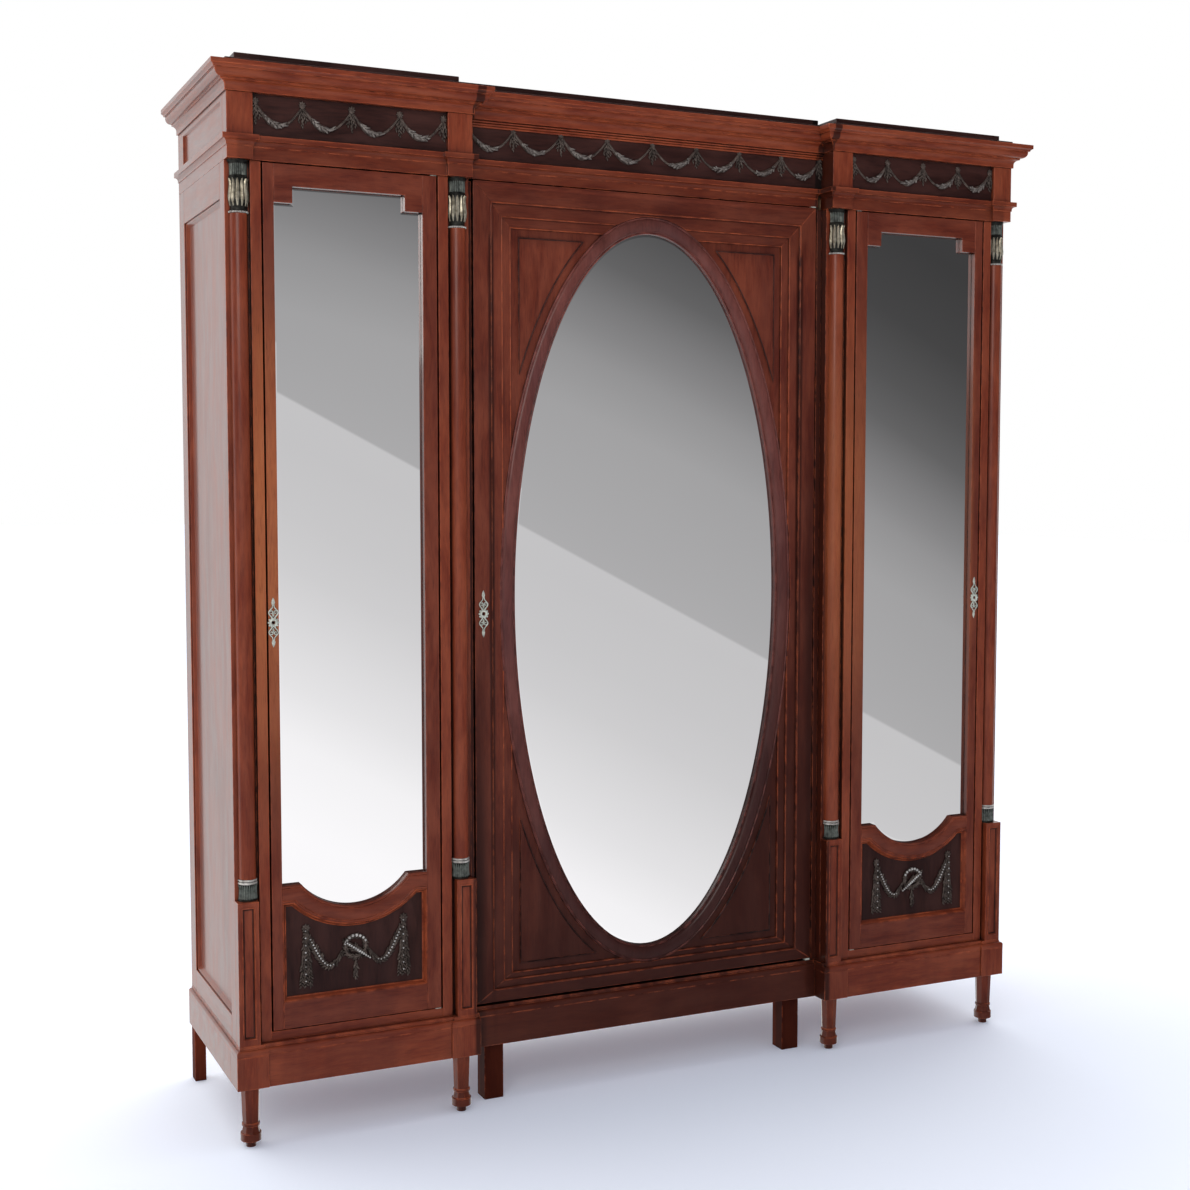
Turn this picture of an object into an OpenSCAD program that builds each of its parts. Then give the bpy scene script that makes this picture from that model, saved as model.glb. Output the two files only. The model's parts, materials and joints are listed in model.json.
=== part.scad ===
// Three-door armoire with mirrored doors and a recessed centre section.
// Millimetres, +Z up, doors towards -Y. The origin is on the floor, in the middle of the
// whole piece, cornice included. Depths inside the modules are counted from the front plane
// of the side sections' corner blocks, and place() shifts them to the origin.

/* [Overall] */
// Width of the carcass between its outer side faces
body_w = 2156; // [2140:2:2180]
// Width of the recessed centre section
centre_w = 1000; // [990:2:1010]
// Depth of the side sections, without the cornice
body_d = 535; // [520:1:560]
// How far the centre section stands back from the side sections
recess = 45; // [42:1:48]

/* [Heights] */
// Legs, from the floor to the plinth
leg_h = 144; // [120:1:160]
// Plinth rails
plinth_h = 76; // [70:1:80]
// Moulded board on top of the plinth
base_h = 23; // [23:1:26]
// Front from the moulded board to the architrave
front_h = 2003; // [1995:1:2015]
// Architrave
arch_h = 52; // [52:1:56]
// Frieze with its blocks and panels
frieze_h = 93; // [88:1:98]
// Cornice moulding
cornice_h = 59; // [59:1:62]

/* [Columns] */
// Radius of the half columns
column_r = 20.5; // [18:0.5:21]
// Height of the pedestals above the moulded board
pedestal_h = 334; // [320:1:345]
// Width of a pedestal
pedestal_w = 49; // [46:1:50]
// Height of a column base
base_ring_h = 50; // [46:1:54]
// Height of a capital
capital_h = 118; // [110:1:124]

/* [Doors] */
// Thickness of a side door
door_t = 29; // [28:1:30]
// Thickness of the centre door
centre_door_t = 34; // [34:1:36]
// Gap around a door
door_gap = 4; // [4:0.5:5]
// Mirror opening: width of the lock stile beside it
lock_stile_w = 24.5; // [23:0.5:27]
// Mirror opening: width of the hinge stile beside it
hinge_stile_w = 34.5; // [32:0.5:38]
// Horizontal half axis of the oval mirror
oval_a = 371; // [365:1:374]
// Vertical half axis of the oval mirror
oval_b = 907; // [895:1:910]
// Width of the moulded rim around the oval mirror
rim_w = 42; // [38:1:46]

/* [Fittings] */
// Radius of the hinge pivot pins
pin_r = 3; // [2.5:0.5:3.5]
// Radius of the hanging rail
rail_r = 12.5; // [10:0.5:14]
// Number of shelves in each side section
shelf_n = 4; // [3:1:5]

/* [Hidden] */

$fn = 48;
eps = 0.01;

mahogany = "#7a3b2a";
dark_mahogany = "#45211b";
poplar = "#a77b55";
bronze = "#6f6244";
brass = "#b59a5b";
silvered = "#c4cacc";

// Levels
base_z = leg_h + plinth_h;
front_z = base_z + base_h;
pedestal_z = front_z + pedestal_h;
arch_z = front_z + front_h;
frieze_z = arch_z + arch_h;
cornice_z = frieze_z + frieze_h;
cap_z = cornice_z + cornice_h;

// Plan of the right-hand side; the left is its mirror image
half_w = body_w / 2;
half_c = centre_w / 2;
section_mid = (half_w + half_c) / 2;
niche_y = 30;
post_y = 15;
post_back_y = 60;
stile_back_y = 78;
side_t = 28;
back_stile_y = body_d - 59;
column_dx = half_w - section_mid - 30;
post_out = half_w - 54;
post_in = half_c + 57;
door_out = post_out - 28.5;
door_in = post_in + 28.5;
lock_stop_x = door_out - 5.5;
hinge_stop_x = door_in + 10.5;
overhang = 41;
seam = 0.2;
moulding_back = side_t;
front_y = -(body_d + overhang) / 2 + overhang;

// Door levels and planes
sill_h = 22;
door_z = front_z + sill_h + 2;
door_top = arch_z - 2;
door_back = post_y + door_t;
stop_y = door_back + 2;
centre_z = front_z + 6;
centre_arch_z = arch_z + 7;
centre_top = centre_arch_z - 3;
centre_y = recess + 5;
centre_back = centre_y + centre_door_t;
centre_half = half_c - 19;
centre_stop_x = centre_half - 11;
centre_stop_y = centre_back + 2;
oval_z = front_z + 1003;
lock_z = front_z + 970;
pivot_in = 7.5;
pivot_len = 15;
running = 0.05;
bolt_t = 5;
bolt_h = 14;

mirror_x0 = door_in + hinge_stile_w;
mirror_x1 = door_out - lock_stile_w;
mirror_mid = (mirror_x0 + mirror_x1) / 2;
mirror_y = post_y + 15;
mirror_t = 4;
board_t = 6;

// Shaped middle rail of a side door: a hollow between two shoulders
hollow_r = 166;
hollow_z = door_z + 273;
mirror_foot_z = hollow_z - 12;
mirror_head_z = door_top - 28;
shoulder_z = hollow_z + 62;
mid_rail_w = 40;
panel_z = door_z + 63;
rebate = 8;

// Widths of the centre door's frame: stiles, bottom rail and top rail
frame_w = 100;
frame_bottom = 66;
frame_top = 106;
frame_rebate = 12;

// Quarter and part circles for mouldings, as [projection, height]
function arc(cx, cz, r, a0, a1, n = 8) =
  [for (i = [0:n]) let (a = a0 + (a1 - a0) * i / n) [cx + r * cos(a), cz + r * sin(a)]];

function ellipse_points(a, b, n = 120) =
  [for (i = [0:n - 1]) [a * cos(360 * i / n), b * sin(360 * i / n)]];

function reach(profile) = max([for (q = profile) q[0]]);
function rise(profile) = profile[len(profile) - 1][1];

cornice_profile = concat(
  [[0, 0], [4, 0], [4, 9]], arc(16, 9, 12, 180, 90), [[16, 25]],
  arc(18, 38, 13, -90, 0), [[31, 42], [35, 42]], arc(41, 42, 6, 180, 110, 4),
  [[overhang, 49], [overhang, cornice_h]]);

architrave_profile = concat(
  [[0, 0], [0, 28], [2, 28], [2, 32]], arc(10, 32, 8, 180, 90), [[11.5, 40], [11.5, arch_h]]);

centre_architrave_profile = concat(
  [[0, centre_arch_z - arch_z]], [for (i = [1:len(architrave_profile) - 1]) architrave_profile[i]]);

base_profile = concat([[8, 0], [8, 9]], arc(2, 9, 6, 0, 90), [[1, 15], [1, 19], [0, 20], [0, base_h]]);

module place() {
  translate([0, front_y, 0]) children();
}

// The right-hand piece and its mirror image
module both() {
  children();
  mirror([1, 0, 0]) children();
}

// Left-hand pieces are mirror images of the right-hand ones
module on_side(side) {
  if (side == "left") mirror([1, 0, 0]) children();
  else children();
}

module block(x, y, z) {
  translate([x[0], y[0], z[0]]) cube([x[1] - x[0], y[1] - y[0], z[1] - z[0]]);
}

module upright(points, z0, z1) {
  translate([0, 0, z0]) linear_extrude(z1 - z0) polygon(points);
}

// Flat shape drawn in X and Z, standing between two depths
module board_xz(y0, y1) {
  translate([0, y1, 0]) rotate([90, 0, 0]) linear_extrude(y1 - y0) children();
}

// Moulding along X that faces -Y; m0 and m1 are 1 for an outside mitre, -1 for an inside one
module moulding_x(x0, x1, y, z, profile, m0, m1, back) {
  p = reach(profile);
  intersection() {
    translate([x0 - p - back, y, z]) rotate([90, 0, 90])
      linear_extrude(x1 - x0 + 2 * (p + back))
        polygon(concat([for (q = profile) [-q[0], q[1]]],
                       [[back, rise(profile)], [back, profile[0][1]]]));
    upright([[x0 + m0 * back, y + back], [x1 - m1 * back, y + back],
             [x1 + m1 * (p + 1), y - p - 1], [x0 - m0 * (p + 1), y - p - 1]],
            z - 1, z + rise(profile) + 1);
  }
}

// Moulding along Y that faces +X
module moulding_y(y0, y1, x, z, profile, m0, m1, back) {
  p = reach(profile);
  intersection() {
    translate([x, y1 + p + back, z]) rotate([90, 0, 0])
      linear_extrude(y1 - y0 + 2 * (p + back))
        polygon(concat([for (q = profile) q],
                       [[-back, rise(profile)], [-back, profile[0][1]]]));
    upright([[x - back, y0 + m0 * back], [x - back, y1 - m1 * back],
             [x + p + 1, y1 + m1 * (p + 1)], [x + p + 1, y0 - m0 * (p + 1)]],
            z - 1, z + rise(profile) + 1);
  }
}

// Board with the moulding on chosen edges: l, r, f and b are 1 where the edge is moulded
module moulded_board(x, y, z, profile, l, r, f, b) {
  intersection() {
    board_xz(y[0] - reach(profile), y[1] + reach(profile))
      polygon(concat([for (q = profile) [x[1] + r * q[0], z + q[1]]],
                     [for (i = [len(profile) - 1:-1:0]) [x[0] - l * profile[i][0], z + profile[i][1]]]));
    translate([x[0] - reach(profile), 0, z]) rotate([90, 0, 90])
      linear_extrude(x[1] - x[0] + 2 * reach(profile))
        polygon(concat([for (q = profile) [y[1] + b * q[0], q[1]]],
                       [for (i = [len(profile) - 1:-1:0]) [y[0] - f * profile[i][0], profile[i][1]]]));
  }
}

// A sunk panel in the front of a block: the outer slope and the flat field are cut away
module sunk_field(x, z, y, depth, slope) {
  hull() {
    block([x[0], x[1]], [y - eps, y], z);
    block([x[0] + slope, x[1] - slope], [y, y + depth], [z[0] + slope, z[1] - slope]);
  }
}

// ---------------------------------------------------------------- legs and plinth

module front_leg() {
  translate([0, 0, 56]) cylinder(h = leg_h - 56, d1 = 39, d2 = 45, $fn = 8);
  translate([0, 0, 50]) cylinder(h = 6, r = 21);
  translate([0, 0, 34]) cylinder(h = 16, d1 = 44, d2 = 37, $fn = 8);
  translate([0, 0, 15]) cylinder(h = 19, r = 24);
  cylinder(h = 15, r = 12);
}

module front_legs() {
  color(mahogany) both()
    for (dx = [-column_dx, column_dx]) translate([section_mid + dx, niche_y, 0]) front_leg();
}

module centre_legs() {
  color(mahogany) both() block([405, 455], [recess + 21, recess + 71], [0, base_z]);
}

module back_legs() {
  color(mahogany) both() block([half_w - 26, half_w + 2], [body_d - 37, body_d], [0, leg_h]);
}

block_out = [half_w - 66, half_w + 8];
block_in = [half_c - 8, half_c + 66];

module plinth_blocks() {
  color(mahogany) both() {
    block(block_out, [-8, 60], [leg_h, base_z]);
    block(block_in, [-8, recess + 18], [leg_h, base_z]);
  }
}

module plinth_rails() {
  color(mahogany) {
    both() {
      block([block_in[1], block_out[0]], [-4, 18], [leg_h, base_z]);
      block([half_w - 12, half_w + 8], [60, body_d], [leg_h, base_z]);
    }
    block([-block_in[0], block_in[0]], [recess - 4, recess + 18], [leg_h, base_z]);
    block([14 - half_w, half_w - 14], [body_d - 20, body_d], [leg_h, base_z]);
  }
}

module base_boards() {
  inner_edge = half_c - reach(base_profile);
  color(mahogany) {
    both() {
      moulded_board([inner_edge, half_w], [4, body_d], base_z, base_profile, 0, 1, 1, 0);
      moulded_board([half_w - 58, half_w], [0, 60], base_z, base_profile, 1, 1, 1, 0);
      moulded_board([half_c, half_c + 58], [0, 60], base_z, base_profile, 1, 1, 1, 0);
    }
    moulded_board([seam - inner_edge, inner_edge - seam], [recess + 4, body_d], base_z,
                  base_profile, 0, 0, 1, 0);
  }
}

// ---------------------------------------------------------------- front frame

// Sill under a side door, with an upstand behind the door between the two posts' stops
module door_sills() {
  color(mahogany) both() {
    block([door_in - door_gap, door_out + door_gap], [post_y + 1, stop_y],
          [front_z, front_z + sill_h]);
    block([hinge_stop_x, lock_stop_x], [stop_y - eps, post_back_y],
          [front_z, front_z + sill_h + 12]);
  }
}

// Mortise that takes the lock bolt, open towards the back of the door
module bolt_mortise(x, y, depth) {
  block([x - 2, x + depth], [y - 1, y + bolt_t + 4], [lock_z - bolt_h / 2 - 2, lock_z + bolt_h / 2 + 2]);
}

module corner_posts() {
  color(mahogany) both() {
    difference() {
      upright([[half_w, niche_y], [post_out, niche_y], [post_out, post_y],
               [door_out + door_gap, post_y], [door_out + door_gap, stop_y],
               [lock_stop_x, stop_y], [lock_stop_x, post_back_y],
               [half_w - side_t, post_back_y], [half_w - side_t, stile_back_y],
               [half_w, stile_back_y]], front_z, arch_z);
      bolt_mortise(lock_stop_x, stop_y, 15);
    }
    upright([[half_c, niche_y], [post_in, niche_y], [post_in, post_y],
             [door_in - door_gap, post_y], [door_in - door_gap, stop_y],
             [hinge_stop_x, stop_y], [hinge_stop_x, post_back_y],
             [half_c, post_back_y]], front_z, arch_z);
  }
}

module centre_jamb() {
  back = centre_stop_y + 14;
  upright([[centre_half + door_gap, centre_y + 2], [half_c, centre_y + 2], [half_c, back],
           [centre_stop_x, back], [centre_stop_x, centre_stop_y],
           [centre_half + door_gap, centre_stop_y]], front_z, arch_z);
}

module centre_jambs() {
  color(mahogany) {
    centre_jamb();
    mirror([1, 0, 0]) difference() {
      centre_jamb();
      bolt_mortise(centre_stop_x, centre_stop_y, 15);
    }
  }
}

module pedestals() {
  mid = pedestal_w / 2;
  color(mahogany) both()
    for (x0 = [half_c, half_w - pedestal_w])
      difference() {
        block([x0, x0 + pedestal_w], [0, niche_y], [front_z, pedestal_z]);
        sunk_field([x0 + mid - 14, x0 + mid + 14], [front_z + 16, pedestal_z - 14], 0, 4, 3);
      }
}

module column_zone() {
  for (dx = [-column_dx, column_dx]) translate([section_mid + dx, niche_y, 0]) children();
}

// Keeps the front half of a turned piece, which stands against the flat niche
module front_half() {
  intersection() {
    children();
    translate([-100, -200, 0]) cube([200, 200, cap_z]);
  }
}

column_z0 = pedestal_z + base_ring_h;
column_z1 = arch_z - capital_h;

module columns() {
  color(mahogany) both() column_zone() front_half()
    translate([0, 0, column_z0]) cylinder(h = column_z1 - column_z0, r = column_r);
}

module capitals() {
  color(bronze) both() column_zone() front_half()
    translate([0, 0, column_z1]) rotate_extrude()
      polygon(concat([[0, 0], [22, 0]], arc(20.5, 4, 3.5, -60, 60, 6),
                     [[21, 9], [22.4, 18], [23.5, 30], [23.7, 40], [23.3, 52], [22, 64],
                      [21, 76], [21, 84], [22.5, 88], [22.5, capital_h], [0, capital_h]]));
}

module column_bases() {
  color(bronze) both() column_zone() front_half()
    translate([0, 0, pedestal_z]) rotate_extrude()
      polygon(concat([[0, 0], [22, 0], [22, 5], [20.5, 8], [20, 22], [20.8, 36]],
                     [[22, 41], [22, 45], [21, 47], [21, base_ring_h], [0, base_ring_h]]));
}

// ---------------------------------------------------------------- sides, back and inside

side_rail_top = arch_z - 79;
side_rail_bottom = front_z + 54;

module back_stiles() {
  color(mahogany) both()
    block([half_w - side_t, half_w], [back_stile_y, body_d], [front_z, arch_z]);
}

module side_rails() {
  color(mahogany) both() {
    block([half_w - side_t, half_w], [stile_back_y, back_stile_y], [front_z, side_rail_bottom]);
    block([half_w - side_t, half_w], [stile_back_y, back_stile_y], [side_rail_top, arch_z]);
    difference() {
      block([half_w - 20, half_w], [41, body_d], [frieze_z, cornice_z]);
      hull() {
        block([half_w, half_w + eps], [58, body_d - 60], [frieze_z + 12, cornice_z - 12]);
        block([half_w - 6, half_w], [62, body_d - 64], [frieze_z + 16, cornice_z - 16]);
      }
    }
  }
}

module side_panels() {
  y = [stile_back_y, back_stile_y];
  z = [side_rail_bottom, side_rail_top];
  color(mahogany) both() {
    block([half_w - 24, half_w - 12], y, z);
    difference() {
      block([half_w - 12 - eps, half_w - 4], y, z);
      hull() {
        block([half_w - 12 - 2 * eps, half_w - 12 - eps], [y[0] + 12, y[1] - 12],
              [z[0] + 12, z[1] - 12]);
        block([half_w - 4, half_w - 4 + eps], [y[0] + 4, y[1] - 4], [z[0] + 4, z[1] - 4]);
      }
    }
  }
}

module partitions() {
  x = [half_c, half_c + 18];
  color(poplar) both() {
    block(x, [post_back_y, body_d], [front_z, cornice_z]);
    block(x, [recess + moulding_back + 5, body_d], [cornice_z - eps, cap_z]);
  }
}

back_y = [body_d - 12, body_d - 4];

module back_panels() {
  color(poplar) {
    both() block([half_c + 18, half_w - side_t], back_y, [front_z, cap_z]);
    block([-half_c, half_c], back_y, [front_z, cap_z]);
  }
}

module ceiling_boards() {
  z = [arch_z - 20, arch_z];
  color(poplar) {
    both() {
      block([half_c + 18, half_w - side_t], [post_back_y, back_y[0]], z);
      block([hinge_stop_x, lock_stop_x], [stop_y, post_back_y + eps], z);
    }
    block([-half_c, half_c], [centre_stop_y + 14, back_y[0]], [centre_top - 18, centre_top + 2]);
  }
}

shelf_step = (front_h - 20) / (shelf_n + 1);

module side_shelves() {
  color(poplar) both()
    for (i = [1:shelf_n])
      block([half_c + 18, half_w - side_t], [stile_back_y + 4, back_y[0]],
            [front_z + i * shelf_step - 10, front_z + i * shelf_step + 10]);
}

hat_z = arch_z - 300;

module hat_shelf() {
  color(poplar) block([-half_c, half_c], [centre_back + 40, back_y[0]], [hat_z, hat_z + 20]);
}

rail_y = 320;
rail_z = hat_z - 70;

module hanging_rail() {
  color(brass) translate([-half_c + 4, rail_y, rail_z]) rotate([0, 90, 0])
    difference() {
      cylinder(h = centre_w - 8, r = rail_r);
      translate([0, 0, -1]) cylinder(h = centre_w - 6, r = rail_r - 1.5);
    }
}

module rail_sockets() {
  color(brass) both() translate([half_c, rail_y, rail_z]) rotate([0, -90, 0])
    difference() {
      union() {
        cylinder(h = 3, r = rail_r + 12);
        cylinder(h = 14, r = rail_r + 4);
      }
      translate([0, 0, 4 - eps]) cylinder(h = 12, r = rail_r + running);
    }
}

// ---------------------------------------------------------------- entablature

module architrave_fronts() {
  color(mahogany) {
    both() {
      moulded_board([half_w - 59, half_w], [0, 41], arch_z, architrave_profile, 1, 1, 1, 0);
      moulded_board([half_c, half_c + 61], [0, post_back_y], arch_z, architrave_profile, 1, 1, 1, 0);
      moulding_x(half_c + 61, half_w - 59, 10, arch_z, architrave_profile, 0, 0, 20);
    }
    moulding_x(-half_c + 11.8, half_c - 11.8, recess + 10, arch_z, centre_architrave_profile,
               0, 0, 20);
  }
}

module architrave_sides() {
  color(mahogany) both()
    moulding_y(41, body_d, half_w, arch_z, architrave_profile, 0, 0, moulding_back);
}

module frieze_blocks() {
  color(mahogany) both() {
    block([half_w - 59, half_w], [0, 41], [frieze_z, cornice_z]);
    block([half_c, half_c + 61], [0, post_back_y], [frieze_z, cornice_z]);
  }
}

module frieze_panels() {
  color(dark_mahogany) {
    both() block([half_c + 61, half_w - 59], [10, 28], [frieze_z, cornice_z]);
    block([-half_c, half_c], [recess + 10, recess + 28], [frieze_z, cornice_z]);
  }
}

module cornice_fronts() {
  color(mahogany) {
    both() moulding_x(half_c, half_w, 0, cornice_z, cornice_profile, 1, 1, moulding_back);
    moulding_x(-half_c, half_c, recess, cornice_z, cornice_profile, -1, -1, moulding_back);
  }
}

module cornice_returns() {
  color(mahogany) both() {
    moulding_y(0, body_d, half_w, cornice_z, cornice_profile, 1, 0, moulding_back);
    mirror([1, 0, 0])
      moulding_y(0, recess, -half_c, cornice_z, cornice_profile, 1, -1, moulding_back);
  }
}

module top_caps() {
  step = 39;
  inset = 65;
  color(dark_mahogany) {
    both() {
      block([half_c - overhang + step, half_w + overhang - step], [step - overhang, body_d],
            [cap_z, cap_z + 13]);
      block([half_c - overhang + inset, half_w + overhang - inset], [inset - overhang, body_d],
            [cap_z + 13 - eps, cap_z + 31]);
    }
    block([-half_c + 3, half_c - 3], [recess + step - overhang, body_d], [cap_z, cap_z + 13]);
    block([-half_c + 3, half_c - 3], [recess + inset - overhang, body_d],
          [cap_z + 13 - eps, cap_z + 31]);
  }
}

// ---------------------------------------------------------------- hinges and locks

// Pin on a plate that fills a gap above or below the door, but for a little play;
// up is 1 for a pin that stands up and -1 for one that hangs down
module pivot_plate(pivot, z, gap, up) {
  plate_t = gap - 0.6;
  translate([pivot[0], pivot[1], z]) mirror([0, 0, up < 0 ? 1 : 0]) {
    translate([-7, -7, 0]) cube([14, 14, plate_t]);
    translate([0, 0, plate_t - eps]) cylinder(h = pivot_len, r = pin_r);
  }
}

side_pivot = [door_in + pivot_in, post_y + pivot_in];
centre_pivot = [centre_half - pivot_in, centre_y + pivot_in];

module pivot_plates() {
  color(brass) {
    both() {
      pivot_plate(side_pivot, front_z + sill_h, door_z - front_z - sill_h, 1);
      pivot_plate(side_pivot, arch_z, arch_z - door_top, -1);
    }
    pivot_plate(centre_pivot, front_z, centre_z - front_z, 1);
    pivot_plate(centre_pivot, centre_arch_z, centre_arch_z - centre_top, -1);
  }
}

module pivot_bores(pivot, z0, z1) {
  for (z = [z0 - 1, z1 - pivot_len - 1])
    translate([pivot[0], pivot[1], z]) cylinder(h = pivot_len + 2, r = pin_r + running);
}

// Keyhole through a stile, from its front face backwards
module keyhole(x, y0, y1) {
  translate([x, y1, lock_z]) rotate([90, 0, 0]) cylinder(h = y1 - y0, r = 2.6);
  block([x - 1.2, x + 1.2], [y0, y1], [lock_z - 8, lock_z]);
}

lock_x = door_out - 11.5;
centre_lock_x = centre_half - 22;

// Plate with a round boss and a tapering scroll above and below
module escutcheon(x, y) {
  color(brass) difference() {
    union() {
      board_xz(y - 1.5, y) translate([x, lock_z])
        polygon([[-5, -57], [5, -57], [12, -34], [8, -12], [8, 12], [12, 34], [5, 57], [-5, 57],
                 [-12, 34], [-8, 12], [-8, -12], [-12, -34]]);
      translate([x, y, lock_z]) rotate([90, 0, 0]) cylinder(h = 4, r = 12);
    }
    keyhole(x, y - 6, y + 1);
  }
}

play = 0.4;
case_w = 24;
case_h = 80;

// Lock case on the back of a door, with a channel for the bolt that is open at its end
module lock_case(x_end, key_x, y) {
  color(brass) difference() {
    block([x_end - case_w, x_end], [y, y + 12], [lock_z - case_h / 2, lock_z + case_h / 2]);
    block([x_end - case_w + 2, x_end + 1], [y + 3 - play, y + 3 + bolt_t + play],
          [lock_z - bolt_h / 2 - play, lock_z + bolt_h / 2 + play]);
    keyhole(key_x, y - 1, y + 3);
  }
}

module lock_bolt(x_end, y) {
  color(brass)
    block([x_end - case_w + 3, x_end], [y + 3, y + 3 + bolt_t],
          [lock_z - bolt_h / 2, lock_z + bolt_h / 2]);
}

// ---------------------------------------------------------------- side doors

module side_door_stiles() {
  color(mahogany) difference() {
    union() {
      block([door_in, mirror_x0], [post_y, mirror_y], [door_z, door_top]);
      block([door_in, mirror_x0 - rebate], [mirror_y - eps, door_back], [door_z, door_top]);
      block([mirror_x1, door_out], [post_y, mirror_y], [door_z, door_top]);
      block([mirror_x1 + rebate, door_out], [mirror_y - eps, door_back], [door_z, door_top]);
    }
    pivot_bores(side_pivot, door_z, door_top);
    keyhole(lock_x, post_y - 1, door_back + 1);
  }
}

function hollow_arc(r, half, n = 24) =
  let (a = asin(half / r))
  [for (i = [0:n]) let (t = -a + 2 * a * i / n)
    [mirror_mid + r * sin(t), hollow_z + hollow_r - r * cos(t)]];

// Hollow edge with its shoulders, from left to right, dropped by the given amount
function hollow_edge(drop) =
  let (r = hollow_r + drop, z = shoulder_z - drop,
       half = sqrt(r * r - pow(hollow_z + hollow_r - z, 2)))
  concat([[mirror_x0, z]], hollow_arc(r, half), [[mirror_x1, z]]);

function reversed(list) = [for (i = [len(list) - 1:-1:0]) list[i]];

module side_door_rails() {
  x = [mirror_x0, mirror_x1];
  top = door_top - 49;
  notch_w = 43;
  notch_h = 37;
  color(mahogany) {
    board_xz(post_y, mirror_y)
      polygon([[x[0], door_top], [x[0], top - notch_h], [x[0] + notch_w, top - notch_h],
               [x[0] + notch_w, top], [x[1] - notch_w, top], [x[1] - notch_w, top - notch_h],
               [x[1], top - notch_h], [x[1], door_top]]);
    board_xz(post_y, mirror_y) polygon(concat(hollow_edge(0), reversed(hollow_edge(mid_rail_w))));
    block(x, [mirror_y - eps, door_back], [mirror_head_z, door_top]);
    block([x[0] - rebate, x[1] + rebate], [mirror_y, door_back], [mirror_head_z, door_top]);
    block(x, [post_y, door_back - 6], [door_z, panel_z]);
  }
}

module side_door_panel() {
  x = [mirror_x0, mirror_x1];
  color(dark_mahogany) {
    board_xz(mirror_y - 3, mirror_y)
      polygon(concat([[x[1], panel_z], [x[0], panel_z]], hollow_edge(mid_rail_w)));
    block([x[0] - rebate, x[1] + rebate], [mirror_y, mirror_y + 6], [panel_z, mirror_foot_z]);
  }
}

module side_mirror() {
  color(silvered)
    block([mirror_x0 - rebate, mirror_x1 + rebate], [mirror_y, mirror_y + mirror_t],
          [mirror_foot_z, mirror_head_z]);
}

module side_mirror_board() {
  color(poplar)
    block([mirror_x0 - rebate, mirror_x1 + rebate],
          [mirror_y + mirror_t, mirror_y + mirror_t + board_t], [mirror_foot_z, mirror_head_z]);
}

// Festoon of bronze leaves: a round wreath, two swags and two drops
module side_garland() {
  swag_w = 104;
  bead = 9;
  wreath_z = panel_z + 110;
  top_z = panel_z + 168;
  face = mirror_y - 3;
  color(bronze) translate([mirror_mid, face, 0]) {
    translate([0, 0, wreath_z]) rotate([90, 0, 0]) difference() {
      cylinder(h = 6, r = 31);
      translate([0, 0, -1]) cylinder(h = 8, r = 20);
    }
    for (s = [-1, 1]) scale([s, 1, 1]) {
      for (i = [0:7])
        let (t = i / 7, x = 34 + t * (swag_w - 26),
             z = wreath_z - 6 - 62 * sin(180 * t) + (top_z - wreath_z + 6) * t)
        translate([x, 0, z]) rotate([90, 0, 0]) cylinder(h = 6, r = bead, $fn = 24);
      for (i = [0:6])
        translate([119, 0, top_z - 4 - 20 * i]) rotate([90, 0, 0])
          cylinder(h = 6, r = 12 - i, $fn = 24);
    }
  }
}

// ---------------------------------------------------------------- centre door

// Section of the frame: three steps down to the spandrels and a rebate behind them
frame_section = [[0, 0], [46, 0], [46, 6], [76, 6], [76, 10], [frame_w, 10],
                 [frame_w, centre_door_t - frame_rebate],
                 [frame_w - frame_rebate, centre_door_t - frame_rebate],
                 [frame_w - frame_rebate, centre_door_t], [0, centre_door_t]];

inner_half = centre_half - frame_w;
inner_z = [centre_z + frame_bottom, centre_top - frame_top];

// Stepped frame member along Z: stepping back towards the opening, mitred at both ends
module centre_stile() {
  intersection() {
    translate([centre_half, 0, centre_z]) linear_extrude(centre_top - centre_z)
      polygon([for (q = frame_section) [-q[0], centre_y + q[1]]]);
    board_xz(centre_y - 1, centre_back + 1)
      polygon([[centre_half, centre_z], [centre_half, centre_top],
               [inner_half, inner_z[1]], [inner_half, inner_z[0]]]);
  }
}

// Stepped rail: its steps follow the mitre, so their heights scale with the rail's width
module centre_rail(h, z, up) {
  intersection() {
    translate([-centre_half, 0, z]) rotate([90, 0, 90]) linear_extrude(2 * centre_half)
      polygon([for (q = frame_section) [centre_y + q[1], up * q[0] * h / frame_w]]);
    board_xz(centre_y - 1, centre_back + 1)
      polygon([[-centre_half, z], [centre_half, z], [inner_half, z + up * h],
               [-inner_half, z + up * h]]);
  }
}

module oval_cut(grow, y0, y1) {
  translate([0, 0, oval_z]) board_xz(y0, y1)
    polygon(ellipse_points(oval_a + grow, oval_b + grow));
}

module centre_door_stiles() {
  color(mahogany) difference() {
    both() centre_stile();
    oval_cut(rim_w, centre_y - 2, centre_back + 2);
    pivot_bores(centre_pivot, centre_z, centre_top);
    keyhole(-centre_lock_x, centre_y - 1, centre_back + 1);
  }
}

module centre_door_rails() {
  color(mahogany) difference() {
    union() {
      centre_rail(frame_bottom, centre_z, 1);
      centre_rail(frame_top, centre_top, -1);
    }
    oval_cut(rim_w, centre_y - 2, centre_back + 2);
    pivot_bores(centre_pivot, centre_z, centre_top);
  }
}

module centre_spandrels() {
  margin = 22;
  color(mahogany) {
    difference() {
      block([-inner_half, inner_half], [centre_y + 14, centre_y + 22], inner_z);
      oval_cut(rim_w, centre_y + 13, centre_y + 23);
    }
    difference() {
      block([margin - inner_half, inner_half - margin], [centre_y + 11, centre_y + 14 + eps],
            [inner_z[0] + margin, inner_z[1] - margin]);
      oval_cut(rim_w + margin, centre_y + 10, centre_y + 15);
    }
  }
}

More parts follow.
